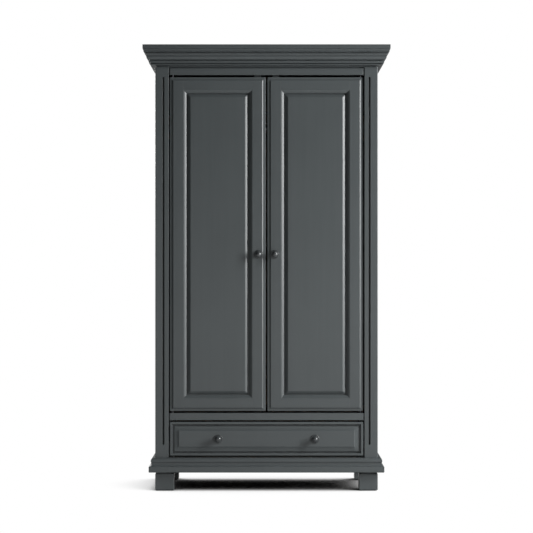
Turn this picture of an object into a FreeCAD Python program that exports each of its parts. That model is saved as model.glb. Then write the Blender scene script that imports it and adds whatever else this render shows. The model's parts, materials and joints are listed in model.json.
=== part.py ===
"""A two-door wardrobe over one full-width drawer, in painted wood.

Millimetres. X runs along the width, the doors face -Y and Z is up. The origin is the middle of the
footprint on the floor. Each sub-part is one or more separate solids, written to parts/NAME.step.
"""

import FreeCAD, Part
import math
import os

os.makedirs("parts", exist_ok=True)

Vector = FreeCAD.Vector
X_AXIS = Vector(1, 0, 0)
Y_AXIS = Vector(0, 1, 0)
Z_AXIS = Vector(0, 0, 1)
LEFT = -1
RIGHT = 1
FULL_TURN = 360
SIDES = (("left", LEFT), ("right", RIGHT))

# Overall sizes of the case
overall_height = 2000.0
body_width = 1000.0
body_depth = 540.0
overrun = 20.0

# Feet
foot_size = 84.0
foot_height = 81.0
foot_arris = 3.0
foot_neck_height = 8.0
foot_neck_inset = 9.0
glide_radius = 15.0
glide_height = 3.0

# Front and rear posts
front_post_width = 60.0
front_post_depth = 45.0
rear_post_width = 40.0
rear_post_depth = 45.0
post_outer_arris = 3.5
post_inner_arris = 1.5
flute_width = 8.0
flute_depth = 13.0
flute_inset = 37.0
flute_bottom = 206.0
flute_top_drop = 44.5

# Heights of the rails and of the front openings
cornice_height = 95.5
frieze_height = 36.4
base_rail_height = 65.0
middle_rail_bottom = 316.8
middle_rail_height = 32.4
front_rail_thickness = 25.0
rail_arris = 1.5
shadow_notch_width = 5.0
shadow_notch_depth = 7.0

# Side frames: rails let between the posts, thin panels in grooves
side_rail_thickness = 22.0
side_rail_setback = 2.0
side_bottom_rail_height = 66.0
side_middle_rail_height = 58.0
side_top_rail_height = 66.0
side_panel_thickness = 8.0
panel_tongue = 8.0
panel_play = 0.2

# Back
back_rail_thickness = 22.0
back_top_rail_height = 70.0
back_panel_thickness = 6.0
back_panel_lap = 10.0
back_panel_edge = 10.0
wall_hole_radius = 2.5
wall_hole_spacing = 600.0
wall_hole_drop = 30.0

# Boards inside
board_thickness = 18.0
board_play = 1.0
shelf_drop = 196.5
cleat_thickness = 20.0
cleat_height = 80.0

# Hanging rail
hanging_rail_radius = 12.5
hanging_rail_wall = 1.5
hanging_rail_drop = 45.0
socket_flange_radius = 24.0
socket_flange_thickness = 3.0
socket_cup_wall = 3.0
socket_cup_depth = 12.0
socket_play = 0.1
hanging_rail_end_play = 0.5

# Cornice: projections are from the face of the case, heights run down from its top
cornice_projection = 54.0
neck_height = 6.5
neck_inset = 10.0
cornice_bed_width = 25.0
crown_edge = 2.0
crown_height = 19.0
crown_bead_setback = 4.0
crown_bead_height = 7.0
upper_fillet_height = 6.0
upper_soffit_width = 4.0
upper_soffit_rise = 1.5
small_bead_height = 5.0
scotia_width = 8.0
scotia_height = 10.5
torus_setback = 2.0
torus_width = 8.5
torus_height = 21.0
low_bead_setback = 1.0
low_bead_height = 5.0
lower_fillet_height = 6.0
lower_soffit_width = 6.5
foot_bead_height = 7.5
quarter_bulge_share = (math.sqrt(2) - 1) / 2

# Base moulding: projections from the face of the case
base_projection = 28.0
base_moulding_height = 65.0
base_chamfer = 2.5
base_face_height = 24.0
base_face_edge = 2.5
base_cove_foot = 3.5
base_cove_height = 12.0
base_cove_depth = 8.0
base_neck_height = 4.0
base_bead_height = 21.5
base_bead_lean = 4.0
bead_bulge_share = 0.36
cove_bulge_share = 0.18
torus_bulge_share = 0.25
base_bead_bulge_share = 0.2

# Doors
door_setback = 2.0
door_thickness = 22.0
door_side_gap = 5.5
door_centre_gap = 8.0
door_top_gap = 9.7
door_bottom_gap = 8.5
stile_width = 60.0
door_rail_width = 57.0
lip_width = 11.0
lip_outer_depth = 4.5
lip_inner_depth = 3.2
lip_step_width = 4.5
panel_groove_depth = 10.0
panel_play_in_groove = 1.0
tongue_front_depth = 9.5
panel_back_depth = 18.0
bevel_width = 10.0
bevel_top_depth = 8.0
field_step_width = 8.0
field_depth = 4.0
strip_width = 14.5
strip_quirk = 0.8
strip_round = 1.2
strip_toe_depth = 8.4
strip_bulge_share = 0.05
tenon_length = 30.0
tenon_thickness = 7.0
tenon_shoulder = 12.0

# Door pivots: a pin on a let-in plate, turning in a bush in the end of the hinge stile
pivot_inset = 12.0
pivot_depth = 10.5
pivot_pin_radius = 3.0
pivot_pin_reach = 17.0
pivot_running_clearance = 0.05
pivot_collar_radius = 4.5
pivot_end_clearance = 0.3
bush_radius = 5.0
bush_length = 20.0
bush_play = 0.1
pivot_plate_length = 44.0
pivot_plate_width = 16.0
pivot_plate_thickness = 2.5
pivot_screw_radius = 1.75
pivot_screw_head_radius = 3.5
pivot_screw_head_height = 1.8
pivot_screw_length = 16.0
pivot_screw_spacing = 30.0

# Door stops behind the frieze
stop_width = 30.0
stop_depth = 16.0
stop_height = 44.0
stop_reach = 18.0
stop_offset = 26.0

# Knobs
knob_rose_radius = 20.0
knob_rose_height = 4.0
knob_rose_round = 2.5
knob_groove_radius = 13.5
knob_groove_height = 2.0
knob_neck_radius = 8.0
knob_neck_height = 10.0
knob_head_radius = 15.0
knob_length = 34.0
knob_screw_radius = 2.0
knob_screw_reach = 10.0
knob_screw_head_radius = 4.5
knob_screw_head_height = 2.5
knob_screw_play = 0.1
door_knob_offset = 36.6
door_knob_height = 1062.0
drawer_knob_offset = 217.6
drawer_knob_height = 232.0

# Drawer
drawer_front_bottom = 157.0
drawer_front_top_gap = 7.5
drawer_front_thickness = 22.0
drawer_lip_width = 10.0
drawer_lip_slope = 4.5
drawer_groove_depth = 9.0
drawer_groove_width = 5.0
drawer_bevel_width = 18.5
drawer_bevel_top_depth = 3.0
drawer_field_step = 3.0
drawer_field_depth = 1.5
drawer_arris = 2.5
drawer_side_thickness = 12.0
drawer_side_lift = 3.0
drawer_side_height = 130.0
drawer_side_inset = 2.5
drawer_back_clearance = 29.0
drawer_bottom_thickness = 6.0
drawer_bottom_lift = 10.0
drawer_bottom_tongue = 6.0
drawer_groove_play = 0.2
runner_clearance = 0.3
runner_thickness = 20.0
runner_overlap = 18.0
guide_height = 20.0
guide_clearance = 1.0
kicker_clearance = 2.0
runner_stop_height = 25.0
runner_stop_clearance = 0.3

# Places worked out from the sizes above
front = cornice_projection - (body_depth + cornice_projection) / 2
back = front + body_depth
half_body = body_width / 2
body_bottom = glide_height + foot_height
opening_half = half_body - front_post_width
front_post_back = front + front_post_depth
rear_post_front = back - rear_post_depth
rear_half = half_body - rear_post_width
body_top = overall_height - cornice_height
flute_top = body_top - flute_top_drop
frieze_bottom = body_top - frieze_height
middle_rail_top = middle_rail_bottom + middle_rail_height
side_outer = half_body - side_rail_setback
side_inner = side_outer - side_rail_thickness
back_panel_front = back - back_panel_thickness
back_rail_front = back_panel_front - back_rail_thickness
door_face = front + door_setback
door_back = door_face + door_thickness
door_bottom = middle_rail_top + door_bottom_gap
door_top = frieze_bottom - door_top_gap
door_outer = opening_half - door_side_gap
door_inner = door_centre_gap / 2
floor_bottom = middle_rail_top - board_thickness
shelf_top = body_top - shelf_drop
shelf_bottom = shelf_top - board_thickness
top_board_top = body_top + board_thickness
cornice_bottom = body_top + neck_height
base_bottom = body_bottom
pivot_x = door_outer - pivot_inset
pivot_y = door_face + pivot_depth
drawer_face = door_face
drawer_back_of_front = drawer_face + drawer_front_thickness
drawer_front_top = middle_rail_bottom - drawer_front_top_gap
drawer_side_outer = opening_half - drawer_side_inset
drawer_side_inner = drawer_side_outer - drawer_side_thickness
drawer_side_bottom = drawer_front_bottom + drawer_side_lift
drawer_side_top = drawer_side_bottom + drawer_side_height
drawer_end = back_rail_front - drawer_back_clearance
drawer_floor_bottom = drawer_side_bottom + drawer_bottom_lift
drawer_floor_top = drawer_floor_bottom + drawer_bottom_thickness


def box(x_range, y_range, z_range):
    """A block between the low and high values of each range, in either order."""
    low = Vector(min(x_range), min(y_range), min(z_range))
    high = Vector(max(x_range), max(y_range), max(z_range))
    size = high - low
    return Part.makeBox(size.x, size.y, size.z, low)


def grown(x_range, y_range, z_range, play):
    """The same block, larger by play on every side."""
    ranges = [(min(r) - play, max(r) + play) for r in (x_range, y_range, z_range)]
    return box(*ranges)


def rod(radius, start, direction, length):
    """A round bar from start along direction."""
    return Part.makeCylinder(radius, length, start, direction)


def mirrored(shape, side):
    """The right-hand shape itself, or its mirror image on the left."""
    if side == RIGHT:
        return shape
    return shape.mirror(Vector(0, 0, 0), X_AXIS)


def save(name, *solids):
    """Writes one sub-part, a single solid or a group of separate ones."""
    shape = solids[0] if len(solids) == 1 else Part.makeCompound(list(solids))
    shape.exportStep("parts/" + name + ".step")


class Outline:
    """A closed outline of lines and arcs; place(u, v) puts each of its points in space."""

    def __init__(self, place, u, v):
        self.place = place
        self.first = (u, v)
        self.last = (u, v)
        self.edges = []

    def line(self, u, v):
        self.edges.append(Part.LineSegment(self.place(*self.last), self.place(u, v)).toShape())
        self.last = (u, v)
        return self

    def curve(self, u, v, bulge_share):
        """An arc whose height over its chord is that share of the chord, to the left if positive."""
        u0, v0 = self.last
        mid = ((u0 + u) / 2 - (v - v0) * bulge_share, (v0 + v) / 2 + (u - u0) * bulge_share)
        points = [self.place(u0, v0), self.place(*mid), self.place(u, v)]
        self.edges.append(Part.Arc(*points).toShape())
        self.last = (u, v)
        return self

    def face(self):
        self.line(*self.first)
        return Part.Face(Part.Wire(self.edges))


def polygon_prism(points, direction):
    """A prism over the flat polygon through the points."""
    return Part.Face(Part.makePolygon(points + points[:1])).extrude(direction)


def rectangle(x_range, z_range, y):
    """A closed rectangle in the plane at y."""
    (x0, x1), (z0, z1) = x_range, z_range
    corners = [Vector(x0, y, z0), Vector(x1, y, z0), Vector(x1, y, z1), Vector(x0, y, z1)]
    return Part.makePolygon(corners + corners[:1])


def inset(limits, amount):
    """A range drawn in at both ends."""
    return (limits[0] + amount, limits[1] - amount)


def tapered(x_range, z_range, y_from, y_to, amount):
    """A block along Y whose outline is drawn in by amount at y_to."""
    start = rectangle(x_range, z_range, y_from)
    end = rectangle(inset(x_range, amount), inset(z_range, amount), y_to)
    return Part.makeLoft([start, end], True, True)


def rounded_bar(x_range, y_range, z_range, radius):
    """A bar along X whose two front edges are rounded."""
    (y0, y1), (z0, z1) = y_range, z_range
    section = Outline(lambda u, v: Vector(x_range[0], u, v), y1, z0)
    section.line(y0 + radius, z0)
    section.curve(y0, z0 + radius, quarter_bulge_share)
    section.line(y0, z1 - radius)
    section.curve(y0 + radius, z1, quarter_bulge_share)
    section.line(y1, z1)
    return section.face().extrude(X_AXIS * (x_range[1] - x_range[0]))


def make_feet():
    """Four square feet, each drawn in to a short neck at the top, with a nailed-on glide that it stands on."""
    glides = []
    shoulder = body_bottom - foot_neck_height
    for name, side in SIDES:
        x_range = (half_body - foot_size, half_body)
        for place, y_range in (("front", (front, front + foot_size)), ("rear", (back - foot_size, back))):
            block = box(x_range, y_range, (glide_height, shoulder))
            edges = [e for e in block.Edges if min(v.Z for v in e.Vertexes) < shoulder]
            block = block.makeFillet(foot_arris, edges)
            neck = box(inset(x_range, foot_neck_inset), inset(y_range, foot_neck_inset), (shoulder, body_bottom))
            block = block.fuse(neck).removeSplitter()
            save(name + "_" + place + "_foot", mirrored(block, side))
            centre = Vector(sum(x_range) / 2, sum(y_range) / 2, 0)
            glides.append(mirrored(rod(glide_radius, centre, Z_AXIS, glide_height), side))
    save("foot_glides", *glides)


def flute():
    """The stopped groove of the right front post, round at both ends."""
    x = half_body - flute_inset
    radius = flute_width / 2
    y_range = (front - overrun, front + flute_depth)
    slot = box((x - radius, x + radius), y_range, (flute_bottom + radius, flute_top - radius))
    for z in (flute_bottom + radius, flute_top - radius):
        slot = slot.fuse(rod(radius, Vector(x, y_range[0], z), Y_AXIS, y_range[1] - y_range[0]))
    return slot.removeSplitter()


def side_panel_ranges():
    """X, Y and Z ranges of the lower and upper panel of the right side, tongues included."""
    x_mid = (side_outer + side_inner) / 2
    x_range = (x_mid - side_panel_thickness / 2, x_mid + side_panel_thickness / 2)
    y_range = (front_post_back - panel_tongue, rear_post_front + panel_tongue)
    middle_top = floor_bottom
    middle_bottom = middle_top - side_middle_rail_height
    lower = (body_bottom + side_bottom_rail_height - panel_tongue, middle_bottom + panel_tongue)
    upper = (middle_top - panel_tongue, body_top - side_top_rail_height + panel_tongue)
    return [(x_range, y_range, lower), (x_range, y_range, upper)]


def back_panel_ranges():
    x = rear_half + back_panel_lap
    return ((-x, x), (back_panel_front, back), (body_bottom + back_panel_edge, body_top - back_panel_edge))


def make_posts():
    """Fluted front posts and plain rear posts, grooved for the side panels."""
    z_range = (body_bottom, body_top)
    grooves = [grown(*ranges, panel_play) for ranges in side_panel_ranges()]
    for name, side in SIDES:
        section = Outline(lambda u, v: Vector(u, v, z_range[0]), opening_half, front_post_back)
        section.line(opening_half, front + post_inner_arris)
        section.curve(opening_half + post_inner_arris, front, -quarter_bulge_share)
        section.line(half_body - post_outer_arris, front)
        section.curve(half_body, front + post_outer_arris, -quarter_bulge_share)
        section.line(half_body, front_post_back)
        post = section.face().extrude(Z_AXIS * (z_range[1] - z_range[0]))
        post = post.cut([flute()] + grooves)
        save(name + "_front_post", mirrored(post, side))
        rear = box((rear_half, half_body), (rear_post_front, back), z_range)
        rear = rear.cut(grooves + [box(*back_panel_ranges())])
        save(name + "_rear_post", mirrored(rear, side))


def make_side_frames():
    """Three rails and two thin panels in each side."""
    grooves = [grown(*ranges, panel_play) for ranges in side_panel_ranges()]
    spans = (
        (body_bottom, body_bottom + side_bottom_rail_height),
        (floor_bottom - side_middle_rail_height, floor_bottom),
        (body_top - side_top_rail_height, body_top),
    )
    for name, side in SIDES:
        rails = []
        for z_range in spans:
            rail = box((side_inner, side_outer), (front_post_back, rear_post_front), z_range)
            rails.append(mirrored(rail.cut(grooves), side))
        save(name + "_side_rails", *rails)
        save(name + "_side_panels", *[mirrored(box(*ranges), side) for ranges in side_panel_ranges()])


def notched_rail(z_range):
    """A front rail between the posts, set off from them by a narrow shadow notch at each end."""
    y_range = (front, front + front_rail_thickness)
    rail = rounded_bar((-opening_half, opening_half), y_range, z_range, rail_arris)
    for end in (-opening_half, opening_half - shadow_notch_width):
        x_range = (end, end + shadow_notch_width)
        notch_z = (z_range[0] - overrun, z_range[1] + overrun)
        rail = rail.cut(box(x_range, (front - overrun, front + shadow_notch_depth), notch_z))
    return rail


def pivot_plate_ranges(z_face, into):
    """X, Y and Z ranges of a right-hand pivot plate, let in from z_face."""
    x_range = (opening_half - pivot_plate_length, opening_half)
    y_range = (pivot_y - pivot_plate_width / 2, pivot_y + pivot_plate_width / 2)
    return (x_range, y_range, (z_face, z_face + into * pivot_plate_thickness))


def pivot_screws(z_face, into):
    """The two countersunk screws of a right-hand pivot plate."""
    x_range, y_range, z_range = pivot_plate_ranges(z_face, into)
    middle = sum(x_range) / 2
    axis = Z_AXIS * into
    screws = []
    for step in (LEFT, RIGHT):
        x = middle + step * pivot_screw_spacing / 2
        top = Vector(x, pivot_y, z_face)
        head = Part.makeCone(pivot_screw_head_radius, pivot_screw_radius, pivot_screw_head_height, top, axis)
        screws.append(head.fuse(rod(pivot_screw_radius, top, axis, pivot_screw_length)).removeSplitter())
    return screws


def make_front_rails():
    """Frieze and middle rail, with their pivot plates let in, and the rail behind the base moulding."""
    cuts = {"frieze_rail": [], "middle_rail": []}
    pins = []
    screws = []
    ends = (
        ("frieze_rail", frieze_bottom, RIGHT, door_top),
        ("middle_rail", middle_rail_top, LEFT, door_bottom),
    )
    for rail_name, z_face, into, door_end in ends:
        for name, side in SIDES:
            plate = box(*pivot_plate_ranges(z_face, into))
            fixings = pivot_screws(z_face, into)
            cuts[rail_name] += [mirrored(shape, side) for shape in [plate] + fixings]
            away = Z_AXIS * -into
            base = Vector(pivot_x, pivot_y, z_face)
            collar = rod(pivot_collar_radius, base, away, abs(door_end - z_face) - pivot_end_clearance)
            pin = rod(pivot_pin_radius, base, away, abs(door_end - z_face) + pivot_pin_reach)
            plate = plate.fuse([collar, pin]).removeSplitter().cut(fixings)
            pins.append(mirrored(plate, side))
            screws += [mirrored(screw, side) for screw in fixings]
    save("frieze_rail", notched_rail((frieze_bottom, body_top)).cut(cuts["frieze_rail"]))
    save("middle_rail", notched_rail((middle_rail_bottom, middle_rail_top)).cut(cuts["middle_rail"]))
    save("door_pivots", *pins)
    save("pivot_screws", *screws)
    low = (body_bottom, body_bottom + base_rail_height)
    save("base_front_rail", box((-opening_half, opening_half), (front, front + front_rail_thickness), low))


def make_back():
    """Two rails between the rear posts and one thin sheet behind them; the top rail takes wall screws."""
    y_range = (back_rail_front, back_panel_front)
    x_range = (-rear_half, rear_half)
    top_rail = box(x_range, y_range, (body_top - back_top_rail_height, body_top))
    sheet = box(*back_panel_ranges())
    for side in (LEFT, RIGHT):
        start = Vector(side * wall_hole_spacing / 2, y_range[0] - overrun, body_top - wall_hole_drop)
        hole = rod(wall_hole_radius, start, Y_AXIS, back + overrun - start.y)
        top_rail = top_rail.cut(hole)
        sheet = sheet.cut(hole)
    save("back_top_rail", top_rail)
    save("base_back_rail", box(x_range, y_range, (body_bottom, body_bottom + base_rail_height)))
    save("back_panel", sheet)


def inside_board(y_front, z_range):
    """A board between the side frames, cut round the rear posts."""
    x = side_inner - board_play
    board = box((-x, x), (y_front, back_panel_front), z_range)
    posts = (
        (rear_half - board_play, (rear_post_front - board_play, back)),
        (opening_half - board_play, (front, front_post_back + board_play)),
    )
    for side in (LEFT, RIGHT):
        for x, y_range in posts:
            board = board.cut(box((side * x, side * half_body), y_range, inset(z_range, -overrun)))
    return board


def make_boards():
    """Floor of the hanging space, hat shelf on its cleats, and the board over the case."""
    save("compartment_floor", inside_board(front + front_rail_thickness, (floor_bottom, middle_rail_top)))
    save("hat_shelf", inside_board(front_post_back + board_play, (shelf_bottom, shelf_top)))
    cleats = []
    for name, side in SIDES:
        x_range = (side_inner - cleat_thickness, side_inner)
        y_range = (front_post_back, rear_post_front)
        cleats.append(mirrored(box(x_range, y_range, (shelf_bottom - cleat_height, shelf_bottom)), side))
    save("shelf_cleats", *cleats)
    x = half_body - neck_inset
    save("top_board", box((-x, x), (front + neck_inset, back), (body_top, top_board_top)))


def make_hanging_rail():
    """A steel tube across the case, held in two round sockets on the cleats."""
    y = (front_post_back + rear_post_front) / 2
    z = shelf_bottom - hanging_rail_drop
    cleat_face = side_inner - cleat_thickness
    reach = cleat_face - socket_flange_thickness - hanging_rail_end_play
    tube = rod(hanging_rail_radius, Vector(-reach, y, z), X_AXIS, reach * 2)
    bore = rod(hanging_rail_radius - hanging_rail_wall, Vector(-reach, y, z), X_AXIS, reach * 2)
    save("hanging_rail", tube.cut(bore))
    sockets = []
    for name, side in SIDES:
        seat = Vector(cleat_face, y, z)
        hole_radius = hanging_rail_radius + socket_play
        flange = rod(socket_flange_radius, seat, -X_AXIS, socket_flange_thickness)
        cup = rod(hole_radius + socket_cup_wall, seat, -X_AXIS, socket_flange_thickness + socket_cup_depth)
        mouth = rod(hole_radius, seat - X_AXIS * socket_flange_thickness, -X_AXIS, socket_cup_depth + overrun)
        sockets.append(mirrored(flange.fuse(cup).removeSplitter().cut(mouth), side))
    save("rail_sockets", *sockets)


def cornice_section(place):
    """Section of the cornice, from its foot up: bead, fillet, torus, scotia and crown, each outside the last."""
    z_crown = overall_height - crown_height
    z_crown_bead = z_crown - crown_bead_height
    z_upper_fillet = z_crown_bead - upper_fillet_height
    z_small_bead_top = z_upper_fillet - upper_soffit_rise
    z_small_bead = z_small_bead_top - small_bead_height
    z_scotia = z_small_bead - scotia_height
    z_torus = z_scotia - torus_height
    z_low_bead = z_torus - low_bead_height
    z_lower_fillet = z_low_bead - lower_fillet_height
    z_foot_bead = z_lower_fillet - foot_bead_height
    crown_bead = cornice_projection - crown_bead_setback
    small_bead = crown_bead - upper_soffit_width
    scotia = small_bead - scotia_width
    torus_top = scotia - torus_setback
    torus_foot = torus_top - torus_width
    low_bead = torus_foot - low_bead_setback
    foot_bead = low_bead - lower_soffit_width
    section = Outline(place, -neck_inset, cornice_bottom)
    section.line(foot_bead, cornice_bottom)
    section.line(foot_bead, z_foot_bead)
    section.curve(foot_bead, z_lower_fillet, -bead_bulge_share)
    section.line(low_bead, z_lower_fillet)
    section.line(low_bead, z_low_bead)
    section.curve(low_bead, z_torus, -bead_bulge_share)
    section.line(torus_foot, z_torus)
    section.curve(torus_top, z_scotia, -torus_bulge_share)
    section.line(scotia, z_scotia)
    section.curve(small_bead, z_small_bead, cove_bulge_share)
    section.curve(small_bead, z_small_bead_top, -bead_bulge_share)
    section.line(crown_bead, z_upper_fillet)
    section.line(crown_bead, z_crown_bead)
    section.curve(crown_bead, z_crown, -bead_bulge_share)
    section.line(cornice_projection, z_crown)
    section.line(cornice_projection, overall_height - crown_edge)
    section.curve(cornice_projection - crown_edge, overall_height, -quarter_bulge_share)
    section.line(-neck_inset - cornice_bed_width, overall_height)
    section.line(-neck_inset - cornice_bed_width, top_board_top)
    section.line(-neck_inset, top_board_top)
    return section.face()


def base_section(place):
    """Section of the base moulding: plinth face, cove, neck and tall bead."""
    z_face = base_bottom + base_face_height
    z_cove = z_face + base_face_edge
    z_neck = z_cove + base_cove_height
    z_bead = z_neck + base_neck_height
    z_bead_top = z_bead + base_bead_height
    ledge = base_projection - base_cove_foot
    neck = ledge - base_cove_depth
    bead_top = neck - base_bead_lean
    section = Outline(place, 0, base_bottom)
    section.line(base_projection - base_chamfer, base_bottom)
    section.line(base_projection, base_bottom + base_chamfer)
    section.line(base_projection, z_face)
    section.curve(base_projection - base_face_edge, z_cove, -quarter_bulge_share)
    section.line(ledge, z_cove)
    section.curve(neck, z_neck, cove_bulge_share)
    section.line(neck, z_bead)
    section.curve(bead_top, z_bead_top, -base_bead_bulge_share)
    section.line(bead_top, base_bottom + base_moulding_height)
    section.line(0, base_bottom + base_moulding_height)
    return section.face()


def make_three_sided(name, section, inner, outer):
    """A moulding round the front and both sides of the case, mitred at the front corners."""
    z_range = (body_bottom - overrun, overall_height + overrun)
    height = Z_AXIS * (z_range[1] - z_range[0])
    x_in, x_out = half_body + inner, half_body + outer
    y_in, y_out = front - inner, front - outer

    def wedge(*corners):
        return polygon_prism([Vector(x, y, z_range[0]) for x, y in corners], height)

    front_wedge = wedge((-x_in, y_in), (x_in, y_in), (x_out, y_out), (-x_out, y_out))
    strip = section(lambda u, v: Vector(-x_out, front - u, v)).extrude(X_AXIS * (x_out * 2))
    save(name + "_front", strip.common(front_wedge))
    side_wedge = wedge((x_in, y_in), (x_out, y_out), (x_out, back), (x_in, back))
    strip = section(lambda u, v: Vector(half_body + u, y_out, v)).extrude(Y_AXIS * (back - y_out))
    strip = strip.common(side_wedge)
    for side_name, side in SIDES:
        save(name + "_" + side_name, mirrored(strip, side))


def knob_outline(place):
    """Half the section of a turned knob: rolled rose, deep groove, neck and round head."""
    equator = knob_length - knob_head_radius
    outline = Outline(place, 0, 0)
    outline.line(knob_rose_radius, 0)
    outline.line(knob_rose_radius, knob_rose_height - knob_rose_round)
    outline.curve(knob_rose_radius - knob_rose_round, knob_rose_height, -quarter_bulge_share)
    outline.line(knob_groove_radius + knob_rose_round, knob_rose_height)
    outline.line(knob_groove_radius, knob_groove_height)
    outline.line(knob_neck_radius, knob_groove_height)
    outline.line(knob_neck_radius, knob_neck_height)
    outline.curve(knob_head_radius, equator, -quarter_bulge_share)
    outline.curve(0, knob_length, -quarter_bulge_share)
    return outline.face()


def knob_and_screw(x, z, face, behind):
    """A knob standing on the face, and the screw that holds it from behind."""
    foot = Vector(x, face, z)
    knob = knob_outline(lambda u, v: Vector(x + u, face - v, z)).revolve(foot, -Y_AXIS, FULL_TURN)
    tip = Vector(x, face - knob_screw_reach, z)
    length = behind - face + knob_screw_reach
    shank = rod(knob_screw_radius, tip, Y_AXIS, length)
    head = rod(knob_screw_head_radius, Vector(x, behind, z), Y_AXIS, knob_screw_head_height)
    hole = rod(knob_screw_radius + knob_screw_play, tip, Y_AXIS, length + overrun)
    return knob.cut(hole), shank.fuse(head).removeSplitter(), hole


def door_envelope(x_range, z_range):
    """The door as one block, with a sloping lip and a step round its front face."""
    lip_y = door_face + lip_outer_depth
    step_y = door_face + lip_inner_depth
    core = box(x_range, (lip_y, door_back), z_range)
    lip = tapered(x_range, z_range, lip_y, step_y, lip_width)
    x_step, z_step = inset(x_range, lip_width), inset(z_range, lip_width)
    step = tapered(x_step, z_step, step_y, door_face, lip_step_width)
    return core.fuse([lip, step]).removeSplitter()


def panel_strips(x_range, z_range):
    """Four mitred strips that line the opening of the door frame, in front of the panel."""
    y_toe = door_face + tongue_front_depth - panel_play
    depth = Y_AXIS * (y_toe - door_face)

    def section(place):
        outline = Outline(place, 0, y_toe)
        outline.line(0, door_face + strip_quirk)
        outline.line(strip_round, door_face + strip_quirk)
        outline.curve(strip_width, door_face + strip_toe_depth, -strip_bulge_share)
        outline.line(strip_width, y_toe)
        return outline.face()

    (x0, x1), (z0, z1) = x_range, z_range
    upright = section(lambda u, v: Vector(x0 + u, v, z0)).extrude(Z_AXIS * (z1 - z0))
    level = section(lambda u, v: Vector(x0, v, z0 + u)).extrude(X_AXIS * (x1 - x0))
    w = strip_width
    left_wedge = [(x0, z0), (x0 + w, z0 + w), (x0 + w, z1 - w), (x0, z1)]
    low_wedge = [(x0, z0), (x1, z0), (x1 - w, z0 + w), (x0 + w, z0 + w)]
    strips = []
    for strip, wedge in ((upright, left_wedge), (level, low_wedge)):
        cut = strip.common(polygon_prism([Vector(x, door_face, z) for x, z in wedge], depth))
        strips.append(cut)
    centre = Vector((x0 + x1) / 2, 0, (z0 + z1) / 2)
    strips.append(strips[0].mirror(centre, X_AXIS))
    strips.append(strips[1].mirror(centre, Z_AXIS))
    return strips


def make_door(name, side):
    """One framed door: two stiles, two tenoned rails, a raised panel and its lining strips."""
    x_range, z_range = (door_inner, door_outer), (door_bottom, door_top)
    x_open = inset(x_range, stile_width)
    z_open = inset(z_range, door_rail_width)
    envelope = door_envelope(x_range, z_range)
    y_range = (door_face, door_back)
    tongue_y = (door_face + tongue_front_depth, door_face + panel_back_depth)
    slot_x = inset(x_open, -panel_groove_depth)
    slot_z = inset(z_open, -panel_groove_depth)
    groove = box(slot_x, inset(tongue_y, -panel_play), slot_z)
    tenon_middle = sum(y_range) / 2
    tenon_y = (tenon_middle - tenon_thickness / 2, tenon_middle + tenon_thickness / 2)
    tenons = {}
    for place, span in (("bottom", (z_range[0], z_open[0])), ("top", (z_open[1], z_range[1]))):
        tenon_z = inset(span, tenon_shoulder)
        tenons[place] = box(inset(x_open, -tenon_length), tenon_y, tenon_z)
        rail = box(x_open, y_range, span).common(envelope).cut(groove)
        rail = rail.fuse(tenons[place]).removeSplitter()
        save(name + "_door_" + place + "_rail", mirrored(rail, side))
    knob_x = door_knob_offset
    knob, screw, knob_hole = knob_and_screw(knob_x, door_knob_height, door_face, door_back)
    save(name + "_door_knob", mirrored(knob, side), mirrored(screw, side))
    bushes = []
    bush_holes = []
    for end, inward in ((door_bottom, RIGHT), (door_top, LEFT)):
        start = Vector(pivot_x, pivot_y, end)
        axis = Z_AXIS * inward
        bore = rod(pivot_pin_radius + pivot_running_clearance, start, axis, bush_length)
        bushes.append(mirrored(rod(bush_radius, start, axis, bush_length).cut(bore), side))
        bush_holes.append(rod(bush_radius + bush_play, start, axis, bush_length))
    save(name + "_door_bushes", *bushes)
    mortises = [groove] + list(tenons.values())
    stiles = (
        ("meeting", (x_range[0], x_open[0]), [knob_hole]),
        ("hinge", (x_open[1], x_range[1]), bush_holes),
    )
    for place, span, holes in stiles:
        stile = box(span, y_range, z_range).common(envelope).cut(mortises + holes)
        save(name + "_door_" + place + "_stile", mirrored(stile, side))
    panel_x = inset(slot_x, panel_play_in_groove)
    panel_z = inset(slot_z, panel_play_in_groove)
    panel = box(panel_x, tongue_y, panel_z)
    bevel_x, bevel_z = inset(x_open, strip_width), inset(z_open, strip_width)
    bevel_y = door_face + bevel_top_depth
    field_y = door_face + field_depth
    bevel = tapered(bevel_x, bevel_z, tongue_y[0], bevel_y, bevel_width)
    top_x, top_z = inset(bevel_x, bevel_width), inset(bevel_z, bevel_width)
    top = tapered(top_x, top_z, bevel_y, field_y, field_step_width)
    save(name + "_door_panel", mirrored(panel.fuse([bevel, top]).removeSplitter(), side))
    save(name + "_door_panel_strips", *[mirrored(strip, side) for strip in panel_strips(x_open, z_open)])


def make_door_stops():
    """Two blocks behind the frieze that the meeting stiles close against."""
    z_range = (door_top - stop_reach, door_top - stop_reach + stop_height)
    y = front + front_rail_thickness
    stop = box((stop_offset, stop_offset + stop_width), (y, y + stop_depth), z_range)
    stops = [mirrored(stop, side) for side in (LEFT, RIGHT)]
    save("door_stops", *stops)


def drawer_floor_ranges():
    x = drawer_side_inner + drawer_bottom_tongue
    y_range = (drawer_back_of_front - drawer_bottom_tongue, drawer_end)
    return ((-x, x), y_range, (drawer_floor_bottom, drawer_floor_top))


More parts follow.
